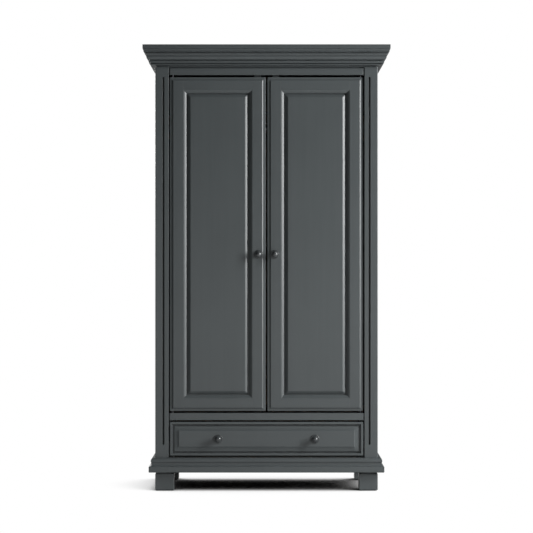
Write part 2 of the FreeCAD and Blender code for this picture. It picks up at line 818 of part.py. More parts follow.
def make_drawer():
    """Drawer: a lipped and fielded front, two sides, back, bottom in grooves, and two knobs."""
    x_range, z_range = (-door_outer, door_outer), (drawer_front_bottom, drawer_front_top)
    groove_y = drawer_face + drawer_groove_depth
    block = box(x_range, (drawer_face, drawer_back_of_front), z_range)
    rim = [e for e in block.Edges if max(v.Y for v in e.Vertexes) == drawer_face]
    block = block.makeFillet(drawer_arris, rim)
    lip_x, lip_z = inset(x_range, drawer_lip_width), inset(z_range, drawer_lip_width)
    hollow = tapered(lip_x, lip_z, drawer_face, groove_y, drawer_lip_slope)
    edge = drawer_lip_width + drawer_lip_slope + drawer_groove_width
    bevel_y = drawer_face + drawer_bevel_top_depth
    bevel = tapered(inset(x_range, edge), inset(z_range, edge), groove_y, bevel_y, drawer_bevel_width)
    edge += drawer_bevel_width
    field_y = drawer_face + drawer_field_depth
    field = tapered(inset(x_range, edge), inset(z_range, edge), bevel_y, field_y, drawer_field_step)
    panel_front = block.cut(hollow).fuse([bevel, field]).removeSplitter()
    knobs = []
    screws = []
    for side in (LEFT, RIGHT):
        x = side * drawer_knob_offset
        knob, screw, hole = knob_and_screw(x, drawer_knob_height, field_y, drawer_back_of_front)
        knobs.append(knob)
        screws.append(screw)
        panel_front = panel_front.cut(hole)
    floor_groove = grown(*drawer_floor_ranges(), drawer_groove_play)
    save("drawer_front", panel_front.cut(floor_groove))
    save("drawer_knobs", *knobs)
    save("drawer_knob_screws", *screws)
    y_range = (drawer_back_of_front, drawer_end)
    for name, side in SIDES:
        board = box((drawer_side_inner, drawer_side_outer), y_range, (drawer_side_bottom, drawer_side_top))
        save("drawer_" + name + "_side", mirrored(board.cut(floor_groove), side))
    x_range = (-drawer_side_inner, drawer_side_inner)
    back_y = (drawer_end - drawer_side_thickness, drawer_end)
    save("drawer_back", box(x_range, back_y, (drawer_floor_top, drawer_side_top)))
    save("drawer_bottom", box(*drawer_floor_ranges()))


def make_drawer_guides():
    """Runners that carry the drawer, with a guide and a stop, and kickers that carry the floor."""
    y_range = (front_post_back, rear_post_front)
    runner_top = drawer_side_bottom - runner_clearance
    guide_face = drawer_side_outer + guide_clearance
    runners = []
    kickers = []
    for name, side in SIDES:
        inner = guide_face - runner_overlap
        runner = box((inner, side_inner), y_range, (runner_top - runner_thickness, runner_top))
        guide = box((guide_face, side_inner), y_range, (runner_top, runner_top + guide_height))
        stop_y = (drawer_end + runner_stop_clearance, y_range[1])
        stop = box((inner, guide_face), stop_y, (runner_top, runner_top + runner_stop_height))
        runners.append(mirrored(runner.fuse([guide, stop]).removeSplitter(), side))
        kicker = box((inner, side_inner), y_range, (drawer_side_top + kicker_clearance, floor_bottom))
        kickers.append(mirrored(kicker, side))
    save("drawer_runners", *runners)
    save("drawer_kickers", *kickers)


make_feet()
make_posts()
make_side_frames()
make_front_rails()
make_back()
make_boards()
make_hanging_rail()
make_three_sided("cornice", cornice_section, -neck_inset - cornice_bed_width, cornice_projection)
make_three_sided("base_moulding", base_section, 0, base_projection)
for door_name, door_side in SIDES:
    make_door(door_name, door_side)
make_door_stops()
make_drawer()
make_drawer_guides()
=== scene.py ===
"""A painted two-door wardrobe over one drawer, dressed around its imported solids.

Metres, Z up, the doors face -Y. The solids are loaded first and stay where they are. Each operator makes one
piece or a group of like pieces as surfaces worked out with numpy, and gives it the finish of its own slot.
"""

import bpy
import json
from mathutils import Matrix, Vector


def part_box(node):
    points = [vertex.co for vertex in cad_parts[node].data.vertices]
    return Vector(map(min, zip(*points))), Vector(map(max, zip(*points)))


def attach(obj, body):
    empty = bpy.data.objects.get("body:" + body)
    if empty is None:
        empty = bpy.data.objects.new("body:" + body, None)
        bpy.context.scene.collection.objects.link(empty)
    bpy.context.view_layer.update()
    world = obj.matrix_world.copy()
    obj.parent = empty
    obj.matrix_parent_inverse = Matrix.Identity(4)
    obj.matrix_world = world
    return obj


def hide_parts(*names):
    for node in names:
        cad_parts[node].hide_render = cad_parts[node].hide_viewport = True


bl_info = {
    "name": "Painted Wardrobe",
    "version": (1, 0, 0),
    "blender": (4, 5, 0),
    "location": "View3D > Sidebar > Wardrobe",
    "description": "Builds the joinery, knobs, fittings, finishes and studio of a painted two-door wardrobe",
    "category": "Object",
}

import json
import math

import bmesh
import bpy
import numpy as np
from mathutils import Vector

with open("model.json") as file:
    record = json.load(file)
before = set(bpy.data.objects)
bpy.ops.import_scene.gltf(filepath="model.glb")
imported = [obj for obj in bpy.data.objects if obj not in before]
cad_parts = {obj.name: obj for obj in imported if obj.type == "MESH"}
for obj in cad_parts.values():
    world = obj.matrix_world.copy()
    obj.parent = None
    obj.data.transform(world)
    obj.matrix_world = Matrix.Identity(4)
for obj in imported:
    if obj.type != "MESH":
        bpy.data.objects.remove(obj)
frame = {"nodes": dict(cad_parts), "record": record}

MM = 0.001
X, Y, Z = 0, 1, 2
SIDES = (("left", -1), ("right", 1))
RECORD = frame["record"]
SLOT_OF = {row["node"]: row["material_slot"] for row in RECORD["subparts"]}
BODY_OF = {node: body for body, nodes in RECORD["behaviour"]["bodies"].items() for node in nodes}

# How finely curves are drawn, and which corners count as sharp
ARC_STEPS = 10
CORNER_STEPS = 4
TURN_STEPS = 72
CORNER_TURN = math.radians(24)
SHARP_ANGLE = math.radians(38)
QUARTER_BULGE_SHARE = (math.sqrt(2) - 1) / 2

# How far the rounding of a corner may reach along a side, and how many times as far its support points lie
SIDE_REACH_SHARE = 0.4
SUPPORT_TIMES = 2.2

# How deep a profile starts on the side under its edge: in radii of a plain edge, in depths of a stepped one
START_RADII = 3
START_DEPTHS = 2

# Small limits, the digits that points are rounded to, and a length past every face
MERGE_DISTANCE = 0.002 * MM
FLAT_LIMIT = 0.0005 * MM
NO_LENGTH = 1e-12
STATION_DIGITS = 8
PLACE_DIGITS = 5
FAR = 10.0

# The largest arris value of a point, and the width over which the paint ends on bare wood
ARRIS_LIMIT = 2.0
PAINT_EDGE = 0.4 * MM

# Camera, floor and background
SENSOR_WIDTH = 36.0
CLIP_END = 100.0
FLOOR_SIZE = 60.0
FLOOR_LINES = 9
SHADE_SAMPLES = 24
BEHIND_LIMIT = 0.35


# Properties: the sizes and colours that a user would change


def length(name, millimetres, description):
    """A length in metres, with its default given in millimetres."""
    return bpy.props.FloatProperty(
        name=name,
        description=description,
        default=millimetres * MM,
        min=0.0,
        precision=5,
        unit="LENGTH",
        subtype="DISTANCE",
    )


def share(name, default, description):
    """A plain share between nought and one."""
    return bpy.props.FloatProperty(
        name=name, description=description, default=default, min=0.0, max=1.0, subtype="FACTOR"
    )


def metres(name, default, description):
    """Two or three lengths in metres."""
    return bpy.props.FloatVectorProperty(
        name=name, description=description, default=default, size=len(default), unit="LENGTH"
    )


def watts(name, default, description):
    """The power of a lamp."""
    return bpy.props.FloatProperty(
        name=name, description=description, default=default, min=0.0, unit="POWER"
    )


def colour(name, default, description):
    """A linear colour."""
    return bpy.props.FloatVectorProperty(
        name=name, description=description, default=default, min=0.0, max=1.0, size=3, subtype="COLOR"
    )


class CaseSizes(bpy.types.PropertyGroup):
    """Sizes of the posts, rails, feet and boards."""

    post_outer_arris: length("Outer post arris", 3.5, "Radius of the outer front edge of a front post")
    post_arris: length("Post arris", 1.5, "Radius of the other edges of a post")
    rail_arris: length("Rail arris", 1.5, "Radius of the edges of a painted rail")
    board_arris: length("Board arris", 1.2, "Radius of the edges of an inside board")
    sheet_arris: length("Sheet arris", 0.6, "Radius of the edges of a thin sheet")
    foot_arris: length("Foot arris", 2.6, "Radius of the edges of a foot")
    foot_neck_height: length("Foot neck height", 8.0, "Height of the neck of a foot, under the case")
    foot_neck_inset: length("Foot neck inset", 9.0, "How far the neck of a foot stands back")
    foot_neck_slope: length("Foot neck slope", 0.4, "Height taken by the rounded top of a foot")
    flute_width: length("Flute width", 8.0, "Width of the groove in a front post")
    flute_depth: length("Flute depth", 13.0, "Depth of the groove in a front post")
    flute_inset: length("Flute inset", 37.0, "From the outer face of the post to the middle of its groove")
    flute_bottom: length("Flute foot", 206.0, "Height above the floor where the groove starts")
    flute_top_drop: length("Flute drop", 44.5, "From the top of the post down to the top of its groove")
    flute_lip: length("Flute lip", 0.6, "Rounding of the mouth of the groove")
    notch_width: length("Notch width", 5.0, "Width of the shadow notches of the front rails")
    notch_depth: length("Notch depth", 10.0, "Depth of the shadow notches of the front rails")
    notch_slope: length("Notch slope", 0.4, "Width taken by the rounded wall of the shadow notch")
    panel_tongue: length("Panel tongue", 8.0, "How far a thin panel is let into its frame")
    back_lap: length("Back lap", 10.0, "How far the back sheet laps over a rear post")
    back_rebate: length("Back rebate", 6.0, "Depth of the rebate that takes the back sheet")
    play: length("Play", 0.2, "Gap left between a panel and its frame")
    board_play: length("Board play", 1.0, "Gap left between an inside board and a post")


class CorniceSizes(bpy.types.PropertyGroup):
    """Section of the cornice: projections are from the face of the case, heights run down from its top."""

    projection: length("Projection", 54.0, "How far the crown stands out")
    height: length("Height", 89.0, "From the top of the cornice to its foot")
    neck_inset: length("Neck inset", 10.0, "How far the neck under the cornice stands back")
    bed_width: length("Bed width", 25.0, "Thickness of the cornice over its neck")
    bed_drop: length("Bed drop", 77.5, "From the top of the cornice to the top board")
    crown_edge: length("Crown edge", 2.0, "Radius of the top edge")
    crown_height: length("Crown height", 19.0, "Height of the crown's face")
    crown_bead_setback: length("Crown bead setback", 4.0, "From the crown in to the bead under it")
    crown_bead_height: length("Crown bead height", 7.0, "Height of the bead under the crown")
    upper_fillet_height: length("Upper fillet height", 6.0, "Height of the upper fillet")
    upper_soffit_width: length("Upper soffit width", 4.0, "From the upper fillet in to the small bead")
    upper_soffit_rise: length("Upper soffit rise", 1.5, "Slope of the underside of the upper fillet")
    small_bead_height: length("Small bead height", 5.0, "Height of the small bead over the scotia")
    scotia_width: length("Scotia width", 8.0, "How far the scotia draws in")
    scotia_height: length("Scotia height", 10.5, "Height of the scotia")
    torus_setback: length("Torus setback", 2.0, "From the foot of the scotia in to the torus")
    torus_width: length("Torus width", 8.5, "How far the torus draws in")
    torus_height: length("Torus height", 21.0, "Height of the torus")
    low_bead_setback: length("Low bead setback", 1.0, "From the torus in to the low bead")
    low_bead_height: length("Low bead height", 5.0, "Height of the low bead")
    lower_fillet_height: length("Lower fillet height", 6.0, "Height of the lower fillet")
    lower_soffit_width: length("Lower soffit width", 6.5, "From the lower fillet in to the foot bead")
    foot_bead_height: length("Foot bead height", 7.5, "Height of the bead at the foot")
    quirk_height: length("Quirk height", 3.0, "Height of the narrow grooves between the beads")
    quirk_depth: length("Quirk depth", 7.0, "Depth of the narrow grooves between the beads")
    bead_bulge_share: share("Bead bulge", 0.36, "How far a bead swells, as a share of its height")
    torus_bulge_share: share("Torus bulge", 0.25, "How far the torus swells, as a share of its chord")
    scotia_bulge_share: share("Scotia hollow", 0.18, "Hollow of the scotia, as a share of its chord")
    arris: length("Arris", 0.7, "Radius of the small edges")


class BaseSizes(bpy.types.PropertyGroup):
    """Section of the base moulding: projections are from the face of the case."""

    projection: length("Projection", 28.0, "How far the plinth face stands out")
    height: length("Height", 65.0, "Height of the moulding")
    chamfer: length("Chamfer", 2.5, "Chamfer along the bottom")
    face_height: length("Face height", 24.0, "Height of the plinth face")
    face_edge: length("Face edge", 2.5, "Radius of the upper edge of the face")
    cove_foot: length("Ledge", 3.5, "Width of the ledge over the face")
    cove_height: length("Cove height", 12.0, "Height of the cove")
    cove_depth: length("Cove depth", 8.0, "How far the cove draws in")
    neck_height: length("Neck height", 4.0, "Height of the neck under the bead")
    bead_height: length("Bead height", 21.5, "Height of the tall bead")
    bead_lean: length("Bead lean", 4.0, "How far the top of the bead draws in")
    bead_bulge_share: share("Bead swell", 0.2, "How far the bead swells, as a share of its chord")
    cove_bulge_share: share("Cove hollow", 0.18, "How far a cove is hollowed, as a share of its chord")
    arris: length("Arris", 0.8, "Radius of the small edges")


class DoorSizes(bpy.types.PropertyGroup):
    """Sizes of the door frames, their lining and their raised panels."""

    lip_width: length("Lip width", 11.0, "Width of the lip round the door")
    lip_outer: length("Lip outer depth", 4.5, "Depth of the lip at the edge of the door")
    lip_inner: length("Lip inner depth", 3.2, "Depth of the lip at the step")
    lip_step: length("Lip step", 4.5, "Width of the sloping step up to the face")
    arris: length("Arris", 1.0, "Radius of the outer edges")
    joint_arris: length("Joint arris", 0.45, "Radius of the edges where stile and rail meet")
    lining_width: length("Lining width", 14.5, "Width of the strip that lines the frame")
    lining_quirk: length("Lining quirk", 0.8, "How far the strip stands back from the face")
    lining_flat: length("Lining flat", 1.2, "Width of the flat of the strip")
    lining_toe: length("Lining toe", 8.4, "Depth of the inner edge of the strip")
    lining_back: length("Lining back", 9.3, "Depth of the back of the strip")
    lining_bulge_share: share("Lining swell", 0.05, "Swell of the strip as a share of its slope")
    tongue_depth: length("Panel ground depth", 9.5, "Depth of the ground round the panel")
    toe_width: length("Toe groove width", 4.0, "Width of the groove at the foot of the lining")
    toe_depth: length("Toe groove depth", 14.0, "Depth of the groove at the foot of the lining")
    bevel_foot: length("Bevel foot", 12.5, "Depth of the bevel at the groove")
    bevel_width: length("Panel bevel", 10.0, "Width of the groove and the bevel round the field")
    bevel_depth: length("Bevel depth", 8.0, "Depth of the bevel where it meets the step")
    field_step: length("Field step", 8.0, "Width of the step up to the field")
    field_depth: length("Field depth", 4.0, "Depth of the raised field")
    panel_back: length("Panel back", 18.0, "Depth of the back of the panel")
    panel_gap: length("Panel gap", 0.3, "Gap between panel and frame")
    step_round: length("Step rounding", 1.1, "Rounding of the steps of frame and panel")


class DrawerSizes(bpy.types.PropertyGroup):
    """Section of the drawer front, from its edge inwards."""

    arris: length("Arris", 2.5, "Radius of the front edges")
    lip_width: length("Lip width", 11.0, "Width of the raised lip")
    slope: length("Slope", 2.0, "Width of the slope down to the groove")
    groove_depth: length("Groove depth", 12.0, "Depth of the groove")
    groove_width: length("Groove width", 6.0, "Width of the groove")
    bevel_foot: length("Bevel foot", 5.0, "Depth of the bevel at the groove")
    bevel_width: length("Bevel width", 19.0, "Width of the bevel round the field")
    bevel_depth: length("Bevel depth", 3.0, "Depth of the bevel at the field")
    field_step: length("Field step", 3.0, "Width of the step up to the field")
    field_depth: length("Field depth", 1.5, "Depth of the field")
    step_round: length("Step rounding", 0.9, "Rounding of the steps")
    bottom_tongue: length("Bottom tongue", 6.0, "How far the bottom is let into the sides")


class KnobSizes(bpy.types.PropertyGroup):
    """Sizes and places of the turned knobs."""

    rose_radius: length("Rose radius", 20.0, "Radius of the rose")
    rose_height: length("Rose height", 4.0, "Height of the rose")
    rose_round: length("Rose roll", 2.5, "Radius of the roll round the rose")
    groove_radius: length("Groove radius", 13.5, "Outer radius of the groove in the rose")
    groove_height: length("Groove height", 2.0, "Height of the floor of the groove")
    neck_radius: length("Neck radius", 8.0, "Radius of the neck")
    neck_height: length("Neck height", 10.0, "Height where the head starts")
    head_radius: length("Head radius", 15.0, "Radius of the head")
    reach: length("Reach", 34.0, "From the face to the front of the head")
    edge: length("Edge", 0.5, "Rounding of the small edges")
    door_offset: length("Door knob offset", 36.6, "From the middle of the case to a door knob")
    door_height: length("Door knob height", 1062.0, "Height of the door knobs")
    drawer_offset: length("Drawer knob offset", 217.6, "From the middle of the case to a drawer knob")
    drawer_height: length("Drawer knob height", 232.0, "Height of the drawer knobs")
    screw_radius: length("Screw head radius", 4.5, "Radius of the screw head behind a door knob")
    screw_height: length("Screw head height", 2.5, "Height of the screw head")
    screw_round: length("Screw head roll", 1.6, "Rounding of the screw head")


class Finishes(bpy.types.PropertyGroup):
    """Colours of the finishes."""

    paint: colour("Paint", (0.074, 0.085, 0.088), "Satin dark grey paint")
    # Past these two limits bare wood takes the paint at half its tone, a darker painted shade
    paint_front: length("Paint front", 190.0, "Distance before the middle from where bare wood is painted")
    paint_foot: length("Paint foot", 155.0, "Height under which bare wood is painted")
    paint_rubbed: colour("Rubbed paint", (0.150, 0.165, 0.168), "Paint where an edge has been handled")
    wood_light: colour("Early wood", (0.62, 0.445, 0.275), "Lighter growth of the inside wood")
    wood_dark: colour("Late wood", (0.42, 0.262, 0.135), "Darker growth of the inside wood")
    sheet_light: colour("Light veneer", (0.56, 0.41, 0.265), "Lighter growth of the thin sheet")
    sheet_dark: colour("Dark veneer", (0.41, 0.272, 0.155), "Darker growth of the thin sheet")
    steel: colour("Steel", (0.55, 0.555, 0.56), "Satin plated steel")
    dark_steel: colour("Blackened steel", (0.06, 0.06, 0.064), "Blackened steel of the door pivots")
    enamel: colour("Enamel", (0.045, 0.05, 0.052), "Satin black enamel of the knobs")
    glide: colour("Glide", (0.05, 0.05, 0.05), "Dark moulded plastic of the glides")
    ground: colour("Ground", (1.0, 1.0, 1.0), "Floor and background")


class StudioSettings(bpy.types.PropertyGroup):
    """Camera and lamps."""

    camera_distance: length("Camera distance", 8900.0, "From the front of the case to the camera")
    camera_height: length("Camera height", 1007.5, "Height of the camera, which looks level")
    lens: bpy.props.FloatProperty(
        name="Lens", description="Focal length on a 36 mm sensor", default=133.8, unit="CAMERA"
    )
    key_power: watts("Key power", 250.0, "Power of the tall soft lamp at the right")
    key_size: metres("Key size", (0.6, 2.6), "Width and height of the key lamp")
    key_place: metres("Key place", (3.6, -1.75, 2.1), "Where the key lamp stands")
    fill_power: watts("Fill power", 13.0, "Power of the low lamp in front")
    fill_size: metres("Fill size", (3.0, 0.7), "Width and height of the fill lamp")
    fill_place: metres("Fill place", (0.4, -3.4, 0.45), "Where the fill lamp stands")
    back_power: watts("Back power", 300.0, "Power of the lamp behind, for the back and the left side")
    back_size: metres("Back size", (1.6, 2.0), "Width and height of the back lamp")
    back_place: metres("Back place", (-2.8, 4.2, 2.6), "Where the back lamp hangs")
    lamp_target: metres("Lamp target", (0.0, 0.0, 0.95), "The point that the lamps face")
    sky_strength: bpy.props.FloatProperty(
        name="Sky", description="Strength of the even light from all round", default=0.03, min=0.0
    )
    gloss_share: share("White in gloss", 0.12, "How much of the white ground and background a gloss shows")
    floor_light_share: share("Floor albedo", 0.5, "How much light the floor gives back to the object")
    floor_reach: length("Shade reach", 900.0, "How far the object shades the floor round it")
    floor_lean_share: share("Shade lean", 0.4, "How far the view up from the floor leans to the key lamp")
    floor_dark_share: share("Dark limit", 0.16, "Open share of the view up where the floor is in full shade")
    floor_white_share: share("White limit", 0.62, "Open share of the view up where the floor is plain white")


GROUPS = {
    "case": CaseSizes,
    "cornice": CorniceSizes,
    "base": BaseSizes,
    "door": DoorSizes,
    "drawer": DrawerSizes,
    "knob": KnobSizes,
    "finish": Finishes,
    "studio": StudioSettings,
}


def settings(name):
    """The property group of that name on the scene."""
    return getattr(bpy.context.scene, "wardrobe_" + name)


# Outlines and profiles, as arrays of (u, v) rows


class Outline:
    """An outline of straight and round lengths; points() gives it as one array."""

    def __init__(self, u, v):
        self.parts = [np.array([[u, v]], float)]

    def line(self, u, v):
        """A straight line to (u, v)."""
        self.parts.append(np.array([[u, v]], float))

    def curve(self, u, v, bulge_share):
        """An arc to (u, v) whose middle stands off its chord by bulge_share of it, to the left if positive.

        With the chord c and the turn a = 4 atan(2 bulge), point t of it is c (e^(-iat) - 1) / (e^(-ia) - 1).
        """
        start = complex(*self.parts[-1][-1])
        chord = complex(u, v) - start
        turn = 4 * math.atan(2 * bulge_share)
        t = np.linspace(0, 1, ARC_STEPS + 1)[1:]
        z = start + chord * (np.exp(-1j * turn * t) - 1) / (np.exp(-1j * turn) - 1)
        self.parts.append(np.column_stack((z.real, z.imag)))

    def points(self):
        """All the points so far, in the order in which they were drawn."""
        return np.vstack(self.parts)


def softened(points, radius, closed=True):
    """The outline with each sharp corner P eased: (1-s)^2 A + 2s(1-s) P + s^2 B for s from 0 to 1.

    A and B lie on the two sides of the corner, a radius away or a share of a short side. One more point
    farther along each side keeps the shading of the flats level. radius is one length, or one for each
    corner.
    """
    before = np.roll(points, 1, axis=0) - points
    after = np.roll(points, -1, axis=0) - points
    before_length = np.linalg.norm(before, axis=1)
    after_length = np.linalg.norm(after, axis=1)
    cosine = -(before * after).sum(axis=1) / np.maximum(before_length * after_length, NO_LENGTH)
    sharp = np.arccos(np.clip(cosine, -1, 1)) > CORNER_TURN
    if not closed:
        sharp[[0, -1]] = False
    side_limit = SIDE_REACH_SHARE * np.minimum(before_length, after_length)
    reach = np.where(sharp, np.minimum(radius, side_limit), 0)[:, None]
    support = np.minimum(reach * SUPPORT_TIMES, side_limit[:, None] * (1 + SIDE_REACH_SHARE / 2))
    support = np.where(sharp[:, None], np.maximum(support, reach), 0)
    before_unit = before / np.maximum(before_length, NO_LENGTH)[:, None]
    after_unit = after / np.maximum(after_length, NO_LENGTH)[:, None]
    start = points + before_unit * reach
    end = points + after_unit * reach
    s = np.linspace(0, 1, CORNER_STEPS + 1)[None, :, None]
    eased = (1 - s) ** 2 * start[:, None] + 2 * s * (1 - s) * points[:, None] + s**2 * end[:, None]
    first = (points + before_unit * support)[:, None]
    last = (points + after_unit * support)[:, None]
    rows = np.concatenate((first, eased, last), axis=1).reshape(-1, 2)
    step = np.linalg.norm(rows - np.roll(rows, 1, axis=0), axis=1)
    keep = step > MERGE_DISTANCE
    if not closed:
        keep[0] = True
    return rows[keep]


def edge_profile(side_depth, points, radius):
    """Depth of a face against the distance from its edge, rounded at each corner; it starts on the edge."""
    rows = np.array([(0, side_depth), *points, (points[-1][0] + FAR, points[-1][1])], float)
    radii = np.broadcast_to(radius, len(points))
    rows = softened(rows, np.concatenate(([0], radii, [0])), closed=False)[1:-1]
    return rows[np.concatenate(([True], np.diff(rows[:, 0]) > 0))]


def arris_profile(radius):
    """Depth of a plain rounded edge against the distance from it."""
    return edge_profile(radius * START_RADII, [(0, 0)], radius)


def counterclockwise(section):
    """The section, turned round if its area, half the sum of x_i y_(i+1) - x_(i+1) y_i, is negative."""
    after = np.roll(section, -1, axis=0)
    area = (section[:, 0] * after[:, 1] - after[:, 0] * section[:, 1]).sum() / 2
    return section if area > 0 else section[::-1]


def inset_directions(section):
    """For each point of a closed section, the step that moves both its sides inwards by one unit."""
    sides = np.roll(section, -1, axis=0) - section
    sides = sides / np.linalg.norm(sides, axis=1, keepdims=True)
    inward = np.column_stack((-sides[:, 1], sides[:, 0]))
    before = np.roll(inward, 1, axis=0)
    return (before + inward) / (1 + (before * inward).sum(axis=1, keepdims=True))


def rectangle(width, thickness):
    """The four corners of a rectangle that stands on the origin, counterclockwise."""
    return np.array([(0, 0), (width, 0), (width, thickness), (0, thickness)], float)


# Skins: grid[i, j] is point i of an outline at station j of its path


def skin(grid, depth=None, capped=True):
    """Points and faces of a closed skin. Quads that fold are cut along the fold, told from their depths."""
    count, stations = grid.shape[:2]
    index = np.arange(count * stations).reshape(count, stations)
    beside = np.roll(index, -1, axis=0)
    quads = np.stack((index[:, :-1], beside[:, :-1], beside[:, 1:], index[:, 1:]), axis=-1).reshape(-1, 4)
    faces = [quads]
    if depth is not None:
        level = depth.reshape(-1)[quads]
        folded = np.abs(level[:, 0] - level[:, 1] + level[:, 2] - level[:, 3]) > FLAT_LIMIT
        steep = np.abs(level[:, 0] - level[:, 2]) >= np.abs(level[:, 1] - level[:, 3])
        bent = quads[folded]
        cut = np.where(steep[folded, None], bent, np.roll(bent, -1, axis=1))
        faces = [quads[~folded], cut[:, [0, 1, 2]], cut[:, [0, 2, 3]]]
    if capped:
        faces += [index[::-1, :1].T, index[:, -1:].T]
    return grid.reshape(-1, 3), faces


def outward(points, faces):
    """The faces, all turned over if the volume that they close, the sum of a . (b x c) / 6, is negative."""
    volume = 0
    for group in faces:
        for k in range(1, group.shape[1] - 1):
            a, b, c = points[group[:, 0]], points[group[:, k]], points[group[:, k + 1]]
            volume += (a * np.cross(b, c)).sum() / 6
    return faces if volume > 0 else [group[:, ::-1] for group in faces]


def placed(grid, origin, axes, mirror=False):
    """A grid of (across, depth, along) put on three world axes from origin, and mirrored in X if asked."""
    world = np.empty_like(grid)
    for local, axis in enumerate(axes):
        world[..., axis] = origin[axis] + grid[..., local]
    if mirror:
        world[..., X] *= -1
    return world


def bar(section, span, arris):
    """A closed section carried along a span, with rounded edges at both ends.

    Point i lies at P_i + inset(d) N_i, where d is its distance to the nearer end and N_i its inward step.
    """
    section = counterclockwise(section)
    profile = arris_profile(arris)
    distance = np.concatenate((profile[:, 0], (span[1] - span[0]) - profile[::-1, 0]))
    inset = np.concatenate((profile[:, 1], profile[::-1, 1]))
    flat = section[:, None] + inset_directions(section)[:, None] * inset[None, :, None]
    along = np.broadcast_to(span[0] + distance, flat.shape[:2])
    return np.dstack((flat, along))


def plank(low, high, arris):
    """A board between two corners with all its edges rounded, carried along its longest side."""
    size = np.array(high, float) - np.array(low, float)
    depth, across, along = np.argsort(size, kind="stable")
    section = softened(rectangle(size[across], size[depth]), arris)
    grid = bar(section, (0, size[along]), arris)
    return skin(placed(grid, low, (across, depth, along)))


def front_board(width, thickness, low_edge, high_edge, ends, span, back_arris, groove=None, framed=False):
    """A board seen from the front, with profiles of (across, depth) on its two long edges and on its ends.

    Point depths are held between the ends' profile and the back: max(depth, ends(d)) and min(depth,
    back(d)), where d is the distance to the nearer end, so equal profiles meet on a mitre. A framed board
    takes the profile of the edge that a point is nearest to instead, so that grooves meet on a mitre too.
    """
    back = arris_profile(back_arris)
    grooved = [] if groove is None else [groove]
    section = np.vstack(
        [
            low_edge,
            *grooved,
            np.column_stack((width - high_edge[::-1, 0], high_edge[::-1, 1])),
            np.column_stack((width - back[:, 0], thickness - back[:, 1])),
            np.column_stack((back[::-1, 0], thickness - back[::-1, 1])),
        ]
    )
    stations = np.unique(np.concatenate((ends[:, 0], back[:, 0])).round(STATION_DIGITS))
    length_along = span[1] - span[0]
    distance = np.concatenate((stations, stations[::-1]))
    along = span[0] + np.concatenate((stations, length_along - stations[::-1]))
    depth = section[:, 1:2]
    end_depth = np.interp(distance, ends[:, 0], ends[:, 1])
    if framed:
        side_distance = np.minimum(section[:, :1], width - section[:, :1])
        by_end = (distance < side_distance) & (depth < thickness - back_arris)
        depth = np.where(by_end, end_depth, depth)
    else:
        depth = np.maximum(depth, end_depth)
    depth = np.minimum(depth, thickness - np.interp(distance, back[:, 0], back[:, 1]))
    across = np.broadcast_to(section[:, :1], depth.shape)
    return np.dstack((across, depth, np.broadcast_to(along, depth.shape)))


def mitred_runs(section, corners, up, closed=False):
    """One skin for each straight run of a moulding round a path, cut on the mitre where two runs meet.

    Point i at corner k is C_k + u_i A_k + v_i N, with N the up direction and A_k = (n + m) / (1 + n . m) for
    the outward normals n and m of the two runs. An open end takes the normal of its own run.
    """
    corners = np.array(corners, float)
    up = np.array(up, float)
    steps = (np.roll(corners, -1, axis=0) - corners) if closed else np.diff(corners, axis=0)
    normals = np.cross(steps / np.linalg.norm(steps, axis=1, keepdims=True), up)
    before = np.roll(normals, 1, axis=0) if closed else np.vstack((normals[:1], normals))
    after = normals if closed else np.vstack((normals, normals[-1:]))
    across = (before + after) / (1 + (before * after).sum(axis=1, keepdims=True))
    runs = []
    for k in range(len(normals)):
        ends = [k, (k + 1) % len(corners)]
        grid = corners[ends] + section[:, None, :1] * across[ends] + section[:, None, 1:] * up
        runs.append(skin(grid))
    return runs


def turned(outline, foot, outward_axis):
    """A shape turned on a lathe: foot + r (cos a S + sin a T) + h N for each (r, h) of the outline."""
    normal = np.array(outward_axis, float)
    side = np.roll(normal, 1)
    other = np.cross(normal, side)
    angle = np.linspace(0, 2 * math.pi, TURN_STEPS, endpoint=False)
    ring = np.cos(angle)[:, None] * side + np.sin(angle)[:, None] * other
    grid = np.array(foot, float) + ring[:, None] * outline[None, :, :1] + outline[None, :, 1:] * normal
    return skin(grid, capped=False)


# From skins to pieces


def arris_values(mesh):
    """How sharply each point p with normal n stands out, for each millimetre.

    It is the mean of n . (p - q) / |p - q|^2 over the points q at the other ends of its edges.
    """
    points = np.empty(len(mesh.vertices) * 3, np.float32)
    mesh.vertices.foreach_get("co", points)
    points = points.reshape(-1, 3)
    normals = np.empty(len(mesh.vertices) * 3, np.float32)
    mesh.vertex_normals.foreach_get("vector", normals)
    normals = normals.reshape(-1, 3)
    edges = np.empty(len(mesh.edges) * 2, np.int32)
    mesh.edges.foreach_get("vertices", edges)
    edges = np.concatenate((edges.reshape(-1, 2), edges.reshape(-1, 2)[:, ::-1]))
    way = points[edges[:, 0]] - points[edges[:, 1]]
    lift = (normals[edges[:, 0]] * way).sum(axis=1) / np.maximum((way * way).sum(axis=1), MERGE_DISTANCE**2)
    total = np.bincount(edges[:, 0], lift, len(points))
    count = np.bincount(edges[:, 0], minlength=len(points))
    return np.clip(total / np.maximum(count, 1) * MM, -ARRIS_LIMIT, ARRIS_LIMIT)


